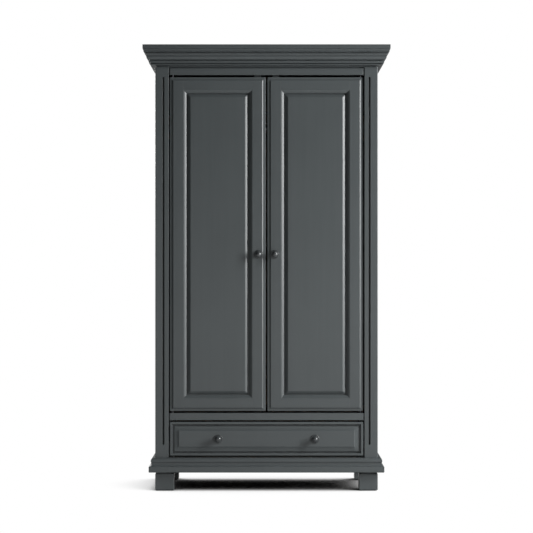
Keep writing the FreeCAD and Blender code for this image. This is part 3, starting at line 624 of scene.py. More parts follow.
def make_piece(name, node, skins, material, replaces=True):
    """Puts closed skins into one mesh, merges its poles, shades it, and rides it on the body of its node."""
    points = []
    faces = []
    offset = 0
    for skin_points, skin_faces in skins:
        for group in outward(skin_points, skin_faces):
            faces += (group + offset).tolist()
        points.append(skin_points)
        offset += len(skin_points)
    mesh = bpy.data.meshes.new(name)
    mesh.from_pydata(np.vstack(points).tolist(), [], faces)
    work = bmesh.new()
    work.from_mesh(mesh)
    bmesh.ops.remove_doubles(work, verts=work.verts, dist=MERGE_DISTANCE)
    bmesh.ops.dissolve_degenerate(work, edges=work.edges, dist=MERGE_DISTANCE)
    work.to_mesh(mesh)
    work.free()
    mesh.polygons.foreach_set("use_smooth", np.ones(len(mesh.polygons), bool))
    mesh.set_sharp_from_angle(angle=SHARP_ANGLE)
    arris = mesh.attributes.new("arris", "FLOAT", "POINT")
    arris.data.foreach_set("value", arris_values(mesh).astype(np.float32))
    mesh.materials.append(material)
    piece = bpy.data.objects.new(name, mesh)
    bpy.context.scene.collection.objects.link(piece)
    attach(piece, BODY_OF[node])
    if replaces:
        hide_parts(node)
    return piece


def finish_node(node, skins, along):
    """Makes the finished piece of a CAD node, in the finish of its slot with the grain along one axis."""
    slot = SLOT_OF[node]
    return make_piece(node + "_finished", node, skins, material_for(slot, along))


def solid_boxes(node):
    """The low and high corner of each solid of a node, told apart by passing labels over its triangles."""
    mesh = frame["nodes"][node].data
    points = np.empty(len(mesh.vertices) * 3, np.float32)
    mesh.vertices.foreach_get("co", points)
    corners = np.empty(len(mesh.loops), np.int32)
    mesh.loops.foreach_get("vertex_index", corners)
    places, same = np.unique(points.reshape(-1, 3).round(PLACE_DIGITS), axis=0, return_inverse=True)
    triangles = same.reshape(-1)[corners].reshape(-1, 3)
    label = np.arange(len(places))
    while True:
        lowest = np.repeat(label[triangles].min(axis=1), 3)
        passed = label.copy()
        np.minimum.at(passed, triangles.reshape(-1), lowest)
        if (passed == label).all():
            break
        label = passed
    return [(places[label == k].min(axis=0), places[label == k].max(axis=0)) for k in np.unique(label)]


def finish_board(node, grid, origin, axes, mirror=False):
    """Makes the finished piece of a node from one grid of (across, depth, along), with its grain along."""
    world = placed(grid, origin, axes, mirror)
    finish_node(node, [skin(world, depth=grid[..., 1])], axes[-1])


def finish_moulding(name, section, height):
    """A moulding round the front and both sides at one height: a piece for each run, cut on the mitre."""
    runs = mitred_runs(section, case_path(height), (0, 0, 1))
    for side, run, along in zip(("left", "front", "right"), runs, (Y, X, Y)):
        finish_node(name + "_" + side, [run], along)


def case_path(z):
    """Corners of the case at one height: back left, front left, front right and back right."""
    low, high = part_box("right_front_post")[0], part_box("right_rear_post")[1]
    return [(-high.x, high.y, z), (-high.x, low.y, z), (high.x, low.y, z), (high.x, high.y, z)]


def finish_planks(nodes, arris, shrink=(0, 0, 0)):
    """A rounded board for every solid of every node, drawn in by shrink on each axis."""
    shrink = np.array(shrink, float)
    for node in nodes:
        boxes = [(low + shrink, high - shrink) for low, high in solid_boxes(node)]
        longest = int(np.argmax(boxes[0][1] - boxes[0][0]))
        finish_node(node, [plank(low, high, arris) for low, high in boxes], longest)


# Materials


class Number:
    """A socket to reckon with: each operator adds one Math node to its material."""

    def __init__(self, kit, socket):
        self.kit = kit
        self.socket = socket

    def reckon(self, operation, first, second):
        return self.kit.node("ShaderNodeMath", {"operation": operation}, {0: first, 1: second})

    def __add__(self, other):
        return self.reckon("ADD", self, other)

    def __sub__(self, other):
        return self.reckon("SUBTRACT", self, other)

    def __rsub__(self, other):
        return self.reckon("SUBTRACT", other, self)

    def __mul__(self, other):
        return self.reckon("MULTIPLY", self, other)

    def __pow__(self, other):
        return self.reckon("POWER", self, other)

    def larger(self, other):
        return self.reckon("MAXIMUM", self, other)

    def smooth(self, low, high, kind="SMOOTHSTEP"):
        """Nought below low, one above high, and a smooth rise between, or a straight one for LINEAR."""
        limits = {"Value": self, "From Min": low, "From Max": high}
        return self.kit.node("ShaderNodeMapRange", {"interpolation_type": kind}, limits)


class Finish:
    """A material with one shader; node() adds any node, its settings made before its sockets are filled."""

    def __init__(self, name, shader="ShaderNodeBsdfPrincipled", tree=None):
        if tree is None:
            self.material = bpy.data.materials.new(name)
            self.material.use_nodes = True
            tree = self.material.node_tree
        self.tree = tree
        self.tree.nodes.clear()
        self.shader = self.tree.nodes.new(shader)

    def finish(self, output="ShaderNodeOutputMaterial", shader=None):
        last = self.tree.nodes.new(output)
        self.tree.links.new(shader.socket if shader else self.shader.outputs[0], last.inputs[0])

    def feed(self, socket, value):
        if isinstance(value, Number):
            self.tree.links.new(value.socket, socket)
        else:
            socket.default_value = value

    def node(self, kind, choices=None, sockets=None, output=0):
        made = self.tree.nodes.new(kind)
        for key, value in (choices or {}).items():
            setattr(made, key, value)
        for key, value in (sockets or {}).items():
            self.feed(made.inputs[key], value)
        return Number(self, made.outputs[output])

    def set(self, **values):
        """Fills sockets of the shader; an underscore in a name stands for a space."""
        for key, value in values.items():
            self.feed(self.shader.inputs[key.replace("_", " ")], value)

    def place(self):
        return self.node("ShaderNodeTexCoord", output="Object")

    def scaled(self, place, scale):
        return self.node("ShaderNodeMapping", sockets={"Vector": place, "Scale": scale})

    def noise(self, place, scale=1.0, detail=2.0, roughness=0.5, distortion=0.0):
        sockets = {
            "Vector": place,
            "Scale": scale,
            "Detail": detail,
            "Roughness": roughness,
            "Distortion": distortion,
        }
        return self.node("ShaderNodeTexNoise", sockets=sockets)

    def mix(self, factor, first, second):
        """Colour between two colours."""
        sockets = {0: factor, 6: opaque(first), 7: opaque(second)}
        return self.node("ShaderNodeMix", {"data_type": "RGBA"}, sockets, output=2)

    def bump(self, height, strength, distance):
        sockets = {"Height": height, "Strength": strength, "Distance": distance}
        return self.node("ShaderNodeBump", sockets=sockets)


def opaque(value):
    """A colour with its alpha, or a socket as it is."""
    return value if isinstance(value, Number) else (*value, 1.0)


def toned(value, factor):
    """A colour, lighter or darker by a factor."""
    return tuple(channel * factor for channel in value)


def grain_scale(along, across_count, along_count):
    """Pattern repeats a metre across the grain and along it."""
    return tuple(along_count if axis == along else across_count for axis in (X, Y, Z))


def grey_paint(name, along):
    """Satin paint laid off with a fine brush along the piece, rubbed on edges, with painted shade in
    hollows.

    The shares say how much colour the painted shade in a hollow keeps, and how far rubbed colour covers an
    edge.
    """
    hollow_shade_share = 0.12
    rubbed_share = 0.4
    colours = settings("finish")
    kit = Finish(name)
    place = kit.place()
    strokes = kit.noise(kit.scaled(place, grain_scale(along, 420.0, 7.0)), detail=3.0)
    bands = kit.noise(kit.scaled(place, grain_scale(along, 34.0, 1.3)), detail=2.0)
    mottle = kit.noise(place, scale=2.6, detail=3.0)
    peel = kit.noise(place, scale=850.0, detail=1.0)
    patches = kit.noise(place, scale=42.0, detail=3.0, roughness=0.6)
    edge = kit.node("ShaderNodeAttribute", {"attribute_name": "arris"}, output="Fac")
    rubbed = edge.smooth(0.12, 0.5) * patches.smooth(0.38, 0.68)
    # Painted shade: concave points, told by their arris value, darken towards a dark tone of the paint
    hollow = (0 - edge).smooth(0.0, 0.15)
    tone = mottle * 0.5 + bands * 0.3 + strokes * 0.2
    paint = kit.mix(tone.smooth(0.3, 0.7), toned(colours.paint, 0.93), toned(colours.paint, 1.07))
    # The painted shade of the hollows goes into the colour here
    paint = kit.mix(hollow, paint, toned(colours.paint, hollow_shade_share))
    paint = kit.mix(rubbed * rubbed_share, paint, tuple(colours.paint_rubbed))
    kit.set(
        Base_Color=paint,
        Roughness=mottle * 0.06 + strokes * 0.05 + 0.36 - rubbed * 0.05,
        Normal=kit.bump(strokes * 0.6 + peel * 0.4, 0.12, 0.25 * MM),
        Coat_Weight=0.0,
    )
    kit.finish()
    return kit.material


def wood_grain(name, along, light, dark, ring_count, rough):
    """Clear-finished wood: wavy growth bands, long fibres and short dark pores along the grain.

    The outside paint, at half its tone as painted shade, reaches round onto front ends and onto what lies
    low in the base.
    """
    shaded_paint_share = 0.5
    colours = settings("finish")
    kit = Finish(name)
    place = kit.place()
    drift = kit.noise(kit.scaled(place, grain_scale(along, 5.0, 0.7)), detail=3.0, distortion=0.4)
    bands = kit.node(
        "ShaderNodeTexWave",
        {"wave_type": "BANDS", "bands_direction": "DIAGONAL", "wave_profile": "SAW"},
        {
            "Vector": kit.scaled(place, grain_scale(along, 1.0, 0.07)),
            "Scale": ring_count,
            "Distortion": 7.0,
            "Detail": 3.0,
            "Detail Scale": 0.8,
            "Detail Roughness": 0.55,
        },
        output="Fac",
    )
    fibres = kit.noise(kit.scaled(place, grain_scale(along, 620.0, 9.0)), detail=4.0, roughness=0.6)
    pores = kit.noise(kit.scaled(place, grain_scale(along, 1500.0, 60.0)), detail=1.0)
    growth = bands ** 2.2 * 0.55 + drift * 0.35 + fibres * 0.25
    colour_now = kit.mix(growth.smooth(0.15, 0.95), light, dark)
    speck = pores.smooth(0.62, 0.72)
    colour_now = kit.mix(speck * 0.35, colour_now, toned(dark, 0.6))
    ahead = 0 - kit.node("ShaderNodeSeparateXYZ", sockets={"Vector": place}, output="Y")
    below = 0 - kit.node("ShaderNodeSeparateXYZ", sockets={"Vector": place}, output="Z")
    # Partly real paint, partly painted shade: this paint is half as bright as the outside, dark where the
    # gaps are shaded
    shaded_paint_front = ahead.smooth(colours.paint_front, colours.paint_front + PAINT_EDGE)
    shaded_paint_foot = below.smooth(-colours.paint_foot, PAINT_EDGE - colours.paint_foot)
    shaded_paint = toned(colours.paint, shaded_paint_share)
    colour_now = kit.mix(shaded_paint_front.larger(shaded_paint_foot), colour_now, shaded_paint)
    kit.set(
        Base_Color=colour_now,
        Roughness=fibres * 0.18 + rough - bands * 0.05,
        Normal=kit.bump(fibres * 0.7 - speck * 0.5 + bands * 0.25, 0.25, 0.4 * MM),
    )
    kit.finish()
    return kit.material


def bare_wood(name, along):
    colours = settings("finish")
    light, dark = tuple(colours.wood_light), tuple(colours.wood_dark)
    return wood_grain(name, along, light, dark, ring_count=26.0, rough=0.4)


def thin_sheet(name, along):
    colours = settings("finish")
    light, dark = tuple(colours.sheet_light), tuple(colours.sheet_dark)
    return wood_grain(name, along, light, dark, ring_count=9.0, rough=0.48)


def drawn_steel(name, along, tone, rough):
    """Steel with fine drawn lines along the piece and a few dull patches."""
    kit = Finish(name)
    place = kit.place()
    lines = kit.noise(kit.scaled(place, grain_scale(along, 2600.0, 20.0)), detail=2.0)
    dull = kit.noise(place, scale=60.0, detail=3.0)
    kit.set(
        Base_Color=kit.mix(dull.smooth(0.35, 0.7), tone, toned(tone, 0.78)),
        Metallic=1.0,
        Roughness=lines * 0.16 + dull * 0.12 + rough,
        Normal=kit.bump(lines, 0.1, 0.1 * MM),
    )
    kit.finish()
    return kit.material


def steel(name, along):
    return drawn_steel(name, along, tuple(settings("finish").steel), rough=0.16)


def dark_steel(name, along):
    return drawn_steel(name, along, tuple(settings("finish").dark_steel), rough=0.36)


def knob_black(name, along):
    """Black enamel, satin with faint handling marks and a soft wave in its skin."""
    colours = settings("finish")
    kit = Finish(name)
    place = kit.place()
    marks = kit.noise(kit.scaled(place, grain_scale(along, 90.0, 50.0)), detail=4.0, roughness=0.65)
    wave = kit.noise(place, scale=120.0, detail=1.0)
    worn = kit.node("ShaderNodeAttribute", {"attribute_name": "arris"}, output="Fac").smooth(0.2, 0.8)
    enamel = kit.mix(marks.smooth(0.4, 0.75) * 0.5, tuple(colours.enamel), toned(colours.enamel, 1.6))
    enamel = kit.mix(worn * 0.35, enamel, toned(colours.enamel, 3.0))
    kit.set(
        Base_Color=enamel,
        Roughness=marks * 0.14 + 0.25,
        Normal=kit.bump(wave, 0.08, 0.3 * MM),
        Coat_Weight=0.4,
        Coat_Roughness=0.2,
    )
    kit.finish()
    return kit.material


def glide(name, along):
    """Dark moulded plastic, scuffed from the floor."""
    colours = settings("finish")
    kit = Finish(name)
    place = kit.place()
    scuffs = kit.noise(kit.scaled(place, grain_scale(along, 300.0, 80.0)), detail=4.0)
    kit.set(
        Base_Color=kit.mix(scuffs.smooth(0.4, 0.8), tuple(colours.glide), toned(colours.glide, 1.7)),
        Roughness=scuffs * 0.25 + 0.42,
        Normal=kit.bump(scuffs, 0.2, 0.2 * MM),
    )
    kit.finish()
    return kit.material


SLOT_FINISHES = {
    "grey_paint": grey_paint,
    "bare_wood": bare_wood,
    "thin_sheet": thin_sheet,
    "steel": steel,
    "dark_steel": dark_steel,
    "knob_black": knob_black,
    "glide": glide,
}


def material_for(slot, along):
    """The material of a slot with its grain along one axis, made once."""
    name = slot + "_along_" + "xyz"[along]
    found = bpy.data.materials.get(name)
    return found or SLOT_FINISHES[slot](name, along)


# Sections of this wardrobe


def cornice_section():
    """From its foot up: bead, fillet, torus, scotia and crown over a narrow neck.

    u runs outwards from the face of the case and v upwards, with nought at the top.
    """
    c = settings("cornice")
    crown_bead_foot = -c.crown_height - c.crown_bead_height
    upper_fillet_foot = crown_bead_foot - c.upper_fillet_height
    small_bead_top = upper_fillet_foot - c.upper_soffit_rise
    scotia_top = small_bead_top - c.small_bead_height
    torus_top = scotia_top - c.scotia_height
    torus_foot = torus_top - c.torus_height
    low_bead_foot = torus_foot - c.low_bead_height
    lower_fillet_foot = low_bead_foot - c.lower_fillet_height
    crown_bead = c.projection - c.crown_bead_setback
    small_bead = crown_bead - c.upper_soffit_width
    scotia = small_bead - c.scotia_width
    torus = scotia - c.torus_setback
    low_bead = torus - c.torus_width - c.low_bead_setback
    foot_bead = low_bead - c.lower_soffit_width
    outline = Outline(-c.neck_inset, -c.height)
    outline.line(foot_bead, -c.height)
    outline.line(foot_bead, lower_fillet_foot - c.foot_bead_height)
    outline.curve(foot_bead, lower_fillet_foot - c.quirk_height, -c.bead_bulge_share)
    outline.line(foot_bead - c.quirk_depth, lower_fillet_foot - c.quirk_height)
    outline.line(foot_bead - c.quirk_depth, lower_fillet_foot)
    outline.line(low_bead, lower_fillet_foot)
    outline.line(low_bead, low_bead_foot)
    outline.curve(low_bead, torus_foot, -c.bead_bulge_share)
    outline.line(low_bead - c.quirk_depth, torus_foot)
    outline.line(low_bead - c.quirk_depth, torus_foot + c.quirk_height)
    outline.line(low_bead + c.low_bead_setback, torus_foot + c.quirk_height)
    outline.curve(torus, torus_top, -c.torus_bulge_share)
    outline.line(scotia, torus_top)
    outline.curve(small_bead, scotia_top, c.scotia_bulge_share)
    outline.curve(small_bead, small_bead_top - c.quirk_height, -c.bead_bulge_share)
    outline.line(small_bead - c.quirk_depth, small_bead_top - c.quirk_height)
    outline.line(small_bead - c.quirk_depth, small_bead_top)
    outline.line(crown_bead, upper_fillet_foot)
    outline.line(crown_bead, crown_bead_foot)
    outline.curve(crown_bead, -c.crown_height, -c.bead_bulge_share)
    outline.line(c.projection, -c.crown_height)
    outline.line(c.projection, -c.crown_edge)
    outline.curve(c.projection - c.crown_edge, 0, -QUARTER_BULGE_SHARE)
    outline.line(-c.neck_inset - c.bed_width, 0)
    outline.line(-c.neck_inset - c.bed_width, -c.bed_drop)
    outline.line(-c.neck_inset, -c.bed_drop)
    return softened(outline.points(), c.arris)


def base_section():
    """Plinth face, ledge, cove, neck and tall bead; u outwards, v up from the bottom."""
    b = settings("base")
    cove_foot = b.face_height + b.face_edge
    neck_foot = cove_foot + b.cove_height
    bead_foot = neck_foot + b.neck_height
    bead_top = bead_foot + b.bead_height
    ledge = b.projection - b.cove_foot
    neck = ledge - b.cove_depth
    outline = Outline(0, 0)
    outline.line(b.projection - b.chamfer, 0)
    outline.line(b.projection, b.chamfer)
    outline.line(b.projection, b.face_height)
    outline.curve(b.projection - b.face_edge, cove_foot, -QUARTER_BULGE_SHARE)
    outline.line(ledge, cove_foot)
    outline.curve(neck, neck_foot, b.cove_bulge_share)
    outline.line(neck, bead_foot)
    outline.curve(neck - b.bead_lean, bead_top, -b.bead_bulge_share)
    outline.line(neck - b.bead_lean, b.height)
    outline.line(0, b.height)
    return softened(outline.points(), b.arris)


def lining_section():
    """Strip that lines a door frame: u in from the frame, v back from the face."""
    d = settings("door")
    outline = Outline(0, d.lining_back)
    outline.line(0, d.lining_quirk)
    outline.line(d.lining_flat, d.lining_quirk)
    outline.curve(d.lining_width, d.lining_toe, -d.lining_bulge_share)
    outline.line(d.lining_width, d.lining_back)
    return softened(outline.points(), d.joint_arris)


def lip_profile():
    """Edge of a door: sloping lip, step and face."""
    d = settings("door")
    step_end = d.lip_width + d.lip_step
    points = [(0, d.lip_outer), (d.lip_width, d.lip_inner), (step_end, 0)]
    return edge_profile(d.lip_outer * START_DEPTHS, points, (d.arris, d.step_round, d.step_round))


def panel_profile():
    """Edge of a raised panel: ground under the lining, groove, bevel, step and field."""
    d = settings("door")
    bevel_end = d.lining_width + d.bevel_width
    field_start = bevel_end + d.field_step
    points = [
        (0, d.tongue_depth),
        (d.lining_width - d.joint_arris, d.tongue_depth),
        (d.lining_width, d.toe_depth),
        (d.lining_width + d.toe_width, d.toe_depth),
        (d.lining_width + d.toe_width + d.joint_arris, d.bevel_foot),
        (bevel_end, d.bevel_depth),
        (field_start, d.field_depth),
    ]
    radii = (*[d.joint_arris] * 5, d.step_round, d.step_round)
    return edge_profile(d.tongue_depth + d.arris * START_RADII, points, radii)


def drawer_profile():
    """Edge of the drawer front: rounded lip, slope, groove, bevel, step and field."""
    d = settings("drawer")
    slope_end = d.lip_width + d.slope
    groove_end = slope_end + d.groove_width
    bevel_end = groove_end + d.bevel_width
    points = [
        (0, 0),
        (d.lip_width, 0),
        (slope_end, d.groove_depth),
        (groove_end, d.groove_depth),
        (groove_end + d.step_round, d.bevel_foot),
        (bevel_end, d.bevel_depth),
        (bevel_end + d.field_step, d.field_depth),
    ]
    radii = (d.arris, *[d.step_round] * 6)
    return edge_profile(d.arris * START_RADII, points, radii)


def knob_outline():
    """Half the section of a knob: rolled rose, groove, neck and round head, as (radius, height)."""
    k = settings("knob")
    equator = k.reach - k.head_radius
    outline = Outline(0, 0)
    outline.line(k.rose_radius, 0)
    outline.line(k.rose_radius, k.rose_height - k.rose_round)
    outline.curve(k.rose_radius - k.rose_round, k.rose_height, -QUARTER_BULGE_SHARE)
    outline.line(k.groove_radius + k.rose_round, k.rose_height)
    outline.line(k.groove_radius, k.groove_height)
    outline.line(k.neck_radius, k.groove_height)
    outline.line(k.neck_radius, k.neck_height)
    outline.curve(k.head_radius, equator, -QUARTER_BULGE_SHARE)
    outline.curve(0, k.reach, -QUARTER_BULGE_SHARE)
    return softened(outline.points(), k.edge, closed=False)


def screw_outline():
    """Half the section of a round screw head, as (radius, height)."""
    k = settings("knob")
    outline = Outline(0, 0)
    outline.line(k.screw_radius, 0)
    outline.line(k.screw_radius, k.screw_height - k.screw_round)
    outline.curve(k.screw_radius - k.screw_round, k.screw_height, -QUARTER_BULGE_SHARE)
    outline.line(0, k.screw_height)
    return outline.points()


# Operators


class WARDROBE_OT_feet(bpy.types.Operator):
    """Four square feet with softened edges, each drawn in to a short neck under the case"""

    bl_idname = "wardrobe.feet"
    bl_label = "Feet"

    def execute(self, context):
        for side, _ in SIDES:
            for place in ("front", "rear"):
                self.foot(side + "_" + place + "_foot")
        return {"FINISHED"}

    def foot(self, node):
        """Rounded squares of side w - 2 d stacked up the foot, where d is how far it is drawn in there."""
        c = settings("case")
        low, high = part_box(node)
        size = high - low
        shoulder = c.foot_neck_height + c.foot_neck_slope
        neck = [(0, c.foot_neck_inset), (c.foot_neck_height, c.foot_neck_inset), (shoulder, 0)]
        top = edge_profile(c.foot_neck_inset * START_DEPTHS, neck, (0, c.foot_neck_slope, c.rail_arris))
        bottom = arris_profile(c.foot_arris)
        levels = np.concatenate((bottom[:, 0], size.z - top[::-1, 0]))
        insets = np.concatenate((bottom[:, 1], top[::-1, 1]))
        rings = [softened(rectangle(size.x - d * 2, size.y - d * 2), c.foot_arris) + d for d in insets]
        flat = np.stack(rings, axis=1)
        grid = np.dstack((flat, np.broadcast_to(levels, flat.shape[:2])))
        finish_node(node, [skin(placed(grid, low, (X, Y, Z)))], Z)


class WARDROBE_OT_posts(bpy.types.Operator):
    """Front posts with a stopped flute, and rear posts with a rebate for the back sheet"""

    bl_idname = "wardrobe.posts"
    bl_label = "Posts"

    def execute(self, context):
        for side, sign in SIDES:
            self.front_post(side + "_front_post", sign)
            self.rear_post(side + "_rear_post", sign)
        return {"FINISHED"}

    def front_post(self, node, sign):
        """The flute ends in a point at both ends, where an open share of its width and depth is left.

        That share is sqrt(1 - (1 - t)^2), where t is the distance to the nearer end over the flute's radius.
        """
        c = settings("case")
        low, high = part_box("right_front_post")
        width, thickness = high.x - low.x, high.y - low.y
        middle, radius = width - c.flute_inset, c.flute_width / 2
        groove = Outline(middle - radius, 0)
        groove.line(middle - radius, c.flute_depth - radius)
        groove.curve(middle, c.flute_depth, QUARTER_BULGE_SHARE)
        groove.curve(middle + radius, c.flute_depth - radius, QUARTER_BULGE_SHARE)
        groove.line(middle + radius, 0)
        front = np.vstack(((0, 0), groove.points(), (width, 0)))
        front = softened(front, c.flute_lip, closed=False)[1:-1]
        outer = arris_profile(c.post_outer_arris)
        inner = arris_profile(c.post_arris)
        grid = front_board(width, thickness, inner, outer, inner, (low.z, high.z), c.post_arris, front)
        span = (c.flute_bottom, high.z - c.flute_top_drop)
        turn = np.linspace(0, math.pi / 2, ARC_STEPS)
        run = radius * (1 - np.cos(turn))
        heights = np.concatenate((span[0] + run, span[1] - run[::-1]))
        grid = self.with_stations(grid, heights)
        in_groove = slice(len(inner), len(inner) + len(front))
        flute = grid[in_groove]
        distance = np.minimum(flute[..., 2] - span[0], span[1] - flute[..., 2]) / radius
        open_share = np.sqrt(1 - (1 - np.clip(distance, 0, 1)) ** 2)
        inside = distance >= -MERGE_DISTANCE
        flute[..., 0] = np.where(inside, middle + (flute[..., 0] - middle) * open_share, flute[..., 0])
        level = np.where(inside, flute[..., 1] * open_share, 0)
        ends = grid[:1, :, 1] - grid[0, grid.shape[1] // 2, 1]
        flute[..., 1] = np.maximum(level, np.maximum(ends, 0))
        finish_board(node, grid, (low.x, low.y, 0), (X, Y, Z), mirror=sign < 0)

    def with_stations(self, grid, heights):
        """The grid with more stations at the given heights, taken between the two middle ones."""
        half = grid.shape[1] // 2
        middle = np.repeat(grid[:, half : half + 1], len(heights), axis=1)
        middle[..., 2] = heights
        return np.concatenate((grid[:, :half], middle, grid[:, half:]), axis=1)

    def rear_post(self, node, sign):
        """The section of the post less the rebate of the back sheet, carried up its height."""
        c = settings("case")
        low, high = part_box("right_rear_post")
        width, thickness = high.x - low.x, high.y - low.y
        lap, rebate = c.back_lap + c.play, thickness - c.back_rebate
        corners = [(0, 0), (width, 0), (width, thickness), (lap, thickness), (lap, rebate), (0, rebate)]
        section = softened(np.array(corners, float), c.post_arris)
        grid = bar(section, (low.z, high.z), c.post_arris)
        world = placed(grid, (low.x, low.y, 0), (X, Y, Z), mirror=sign < 0)
        finish_node(node, [skin(world)], Z)


class WARDROBE_OT_sides(bpy.types.Operator):
    """Rails and thin panels of both sides, and the painted rail behind the base moulding"""

    bl_idname = "wardrobe.sides"
    bl_label = "Side Frames"

    def execute(self, context):
        c = settings("case")
        tongue = c.panel_tongue - c.play
        finish_planks(["left_side_rails", "right_side_rails", "base_front_rail"], c.rail_arris)
        finish_planks(["left_side_panels", "right_side_panels"], c.sheet_arris, (0, tongue, tongue))
        return {"FINISHED"}


class WARDROBE_OT_front_rails(bpy.types.Operator):
    """Frieze and middle rail, with a shadow notch at each end and over the frieze"""

    bl_idname = "wardrobe.front_rails"
    bl_label = "Front Rails"

    def execute(self, context):
        c = settings("case")
        arris = arris_profile(c.rail_arris)
        mouth = c.notch_width + c.notch_slope
        notch_points = [(0, c.notch_depth), (c.notch_width, c.notch_depth), (mouth, 0)]
        radii = (c.rail_arris, c.notch_slope, c.rail_arris)
        notch = edge_profile(c.notch_depth * START_DEPTHS, notch_points, radii)
        for node, upper in (("frieze_rail", notch), ("middle_rail", arris)):
            low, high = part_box(node)
            height, thickness = high.z - low.z, high.y - low.y
            grid = front_board(height, thickness, arris, upper, notch, (low.x, high.x), c.rail_arris)
            finish_board(node, grid, (0, low.y, low.z), (Z, Y, X))
        return {"FINISHED"}


class WARDROBE_OT_cornice(bpy.types.Operator):
    """Cornice: one moulding round the front and both sides, mitred at the corners"""

    bl_idname = "wardrobe.cornice"
    bl_label = "Cornice"

    def execute(self, context):
        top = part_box("cornice_front")[1].z
        finish_moulding("cornice", cornice_section(), top)
        return {"FINISHED"}


class WARDROBE_OT_base_moulding(bpy.types.Operator):
    """Base moulding round the front and both sides, mitred at the corners"""

    bl_idname = "wardrobe.base_moulding"
    bl_label = "Base Moulding"

    def execute(self, context):
        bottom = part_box("base_moulding_front")[0].z
        finish_moulding("base_moulding", base_section(), bottom)
        return {"FINISHED"}


class WARDROBE_OT_inside(bpy.types.Operator):
    """Boards of the inside: top, floor, hat shelf, cleats, kickers, door stops and the low back rail"""

    bl_idname = "wardrobe.inside"
    bl_label = "Inside Boards"

    def execute(self, context):
        c = settings("case")
        plain = ["top_board", "shelf_cleats", "drawer_kickers", "door_stops", "base_back_rail"]
        finish_planks(plain, c.board_arris)
        for node in ("compartment_floor", "hat_shelf"):
            self.notched_board(node)
        return {"FINISHED"}

    def notched_board(self, node):
        """A board cut round the posts that it reaches: its plan outline carried up its thickness."""
        c = settings("case")
        low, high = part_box(node)
        front_post, rear_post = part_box("right_front_post"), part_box("right_rear_post")
        front_corner = (front_post[0].x - c.board_play, front_post[1].y + c.board_play)
        rear_corner = (rear_post[0].x - c.board_play, rear_post[0].y - c.board_play)
        half = [(high.x, rear_corner[1]), rear_corner, (rear_corner[0], high.y)]
        if low.y < front_corner[1]:
            half = [(front_corner[0], low.y), front_corner, (high.x, front_corner[1])] + half
        else:
            half = [(high.x, low.y)] + half
        outline = half + [(-x, y) for x, y in reversed(half)]
        section = softened(np.array(outline, float), c.board_arris)
        grid = bar(section, (low.z, high.z), c.board_arris)
        finish_node(node, [skin(placed(grid, (0, 0, 0), (X, Y, Z)))], X)


class WARDROBE_OT_doors(bpy.types.Operator):
    """Two framed doors: stiles, rails, lining strips and raised panels"""

    bl_idname = "wardrobe.doors"
    bl_label = "Doors"

    def execute(self, context):
        for side, sign in SIDES:
            self.frame_and_panel(side + "_door_", sign < 0)
        return {"FINISHED"}

    def frame_and_panel(self, door, left):
        """One door, worked out on the right side and mirrored in X for the left; door starts its names."""
        d = settings("door")
        lip, joint = lip_profile(), arris_profile(d.joint_arris)
        low, meeting_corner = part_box("right_door_meeting_stile")
        hinge_corner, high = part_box("right_door_hinge_stile")
        span = (meeting_corner.x, hinge_corner.x)
        thickness = high.y - low.y
        stiles = (
            ("meeting_stile", (low.x, span[0]), (lip, joint)),
            ("hinge_stile", (span[1], high.x), (joint, lip)),
        )
        for name, (start, end), edges in stiles:
            grid = front_board(end - start, thickness, *edges, lip, (low.z, high.z), d.arris)
            finish_board(door + name, grid, (start, low.y, 0), (X, Y, Z), mirror=left)
        rails = {name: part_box("right_door_" + name + "_rail") for name in ("top", "bottom")}
        for name, edges in (("top", (joint, lip)), ("bottom", (lip, joint))):
            foot, head = rails[name]
            grid = front_board(head.z - foot.z, thickness, *edges, joint, span, d.arris)
            finish_board(door + name + "_rail", grid, (0, low.y, foot.z), (Z, Y, X), mirror=left)
        opening = (rails["bottom"][1].z, rails["top"][0].z)
        self.lining(door, span, opening, low.y, left)
        self.panel(door, span, opening, low.y, left)

    def lining(self, door, span, opening, face, left):
        """Four strips mitred round the opening of the frame."""
        (start, end), (foot, head) = span, opening
        corners = [(start, foot), (end, foot), (end, head), (start, head)]
        path = [(x, face, z) for x, z in corners]
        runs = mitred_runs(lining_section(), path, (0, 1, 0), closed=True)
        turn = np.array((-1 if left else 1, 1, 1))
        finish_node(door + "panel_strips", [(points * turn, faces) for points, faces in runs], Z)

    def panel(self, door, span, opening, face, left):
        """A raised panel: the same edge profile on all four sides, mitred at the corners."""
        d = settings("door")
        edge = panel_profile()
        gap = d.panel_gap
        width = span[1] - span[0] - gap * 2
        tall = (opening[0] + gap, opening[1] - gap)
        grid = front_board(width, d.panel_back, edge, edge, edge, tall, d.arris)
        finish_board(door + "panel", grid, (span[0] + gap, face, 0), (X, Y, Z), mirror=left)


class WARDROBE_OT_drawer(bpy.types.Operator):
    """Drawer: a lipped and fielded front over a plain box"""

    bl_idname = "wardrobe.drawer"
    bl_label = "Drawer"

    def execute(self, context):
        c, d = settings("case"), settings("drawer")
        low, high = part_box("drawer_front")
        edge = drawer_profile()
        span = (low.x, high.x)
        height, thickness = high.z - low.z, high.y - low.y
        grid = front_board(height, thickness, edge, edge, edge, span, c.board_arris, framed=True)
        finish_board("drawer_front", grid, (0, low.y, low.z), (Z, Y, X))
        finish_planks(["drawer_left_side", "drawer_right_side", "drawer_back"], c.board_arris)
        tongue = d.bottom_tongue - c.play
        finish_planks(["drawer_bottom"], c.sheet_arris, (tongue, tongue, 0))
        return {"FINISHED"}


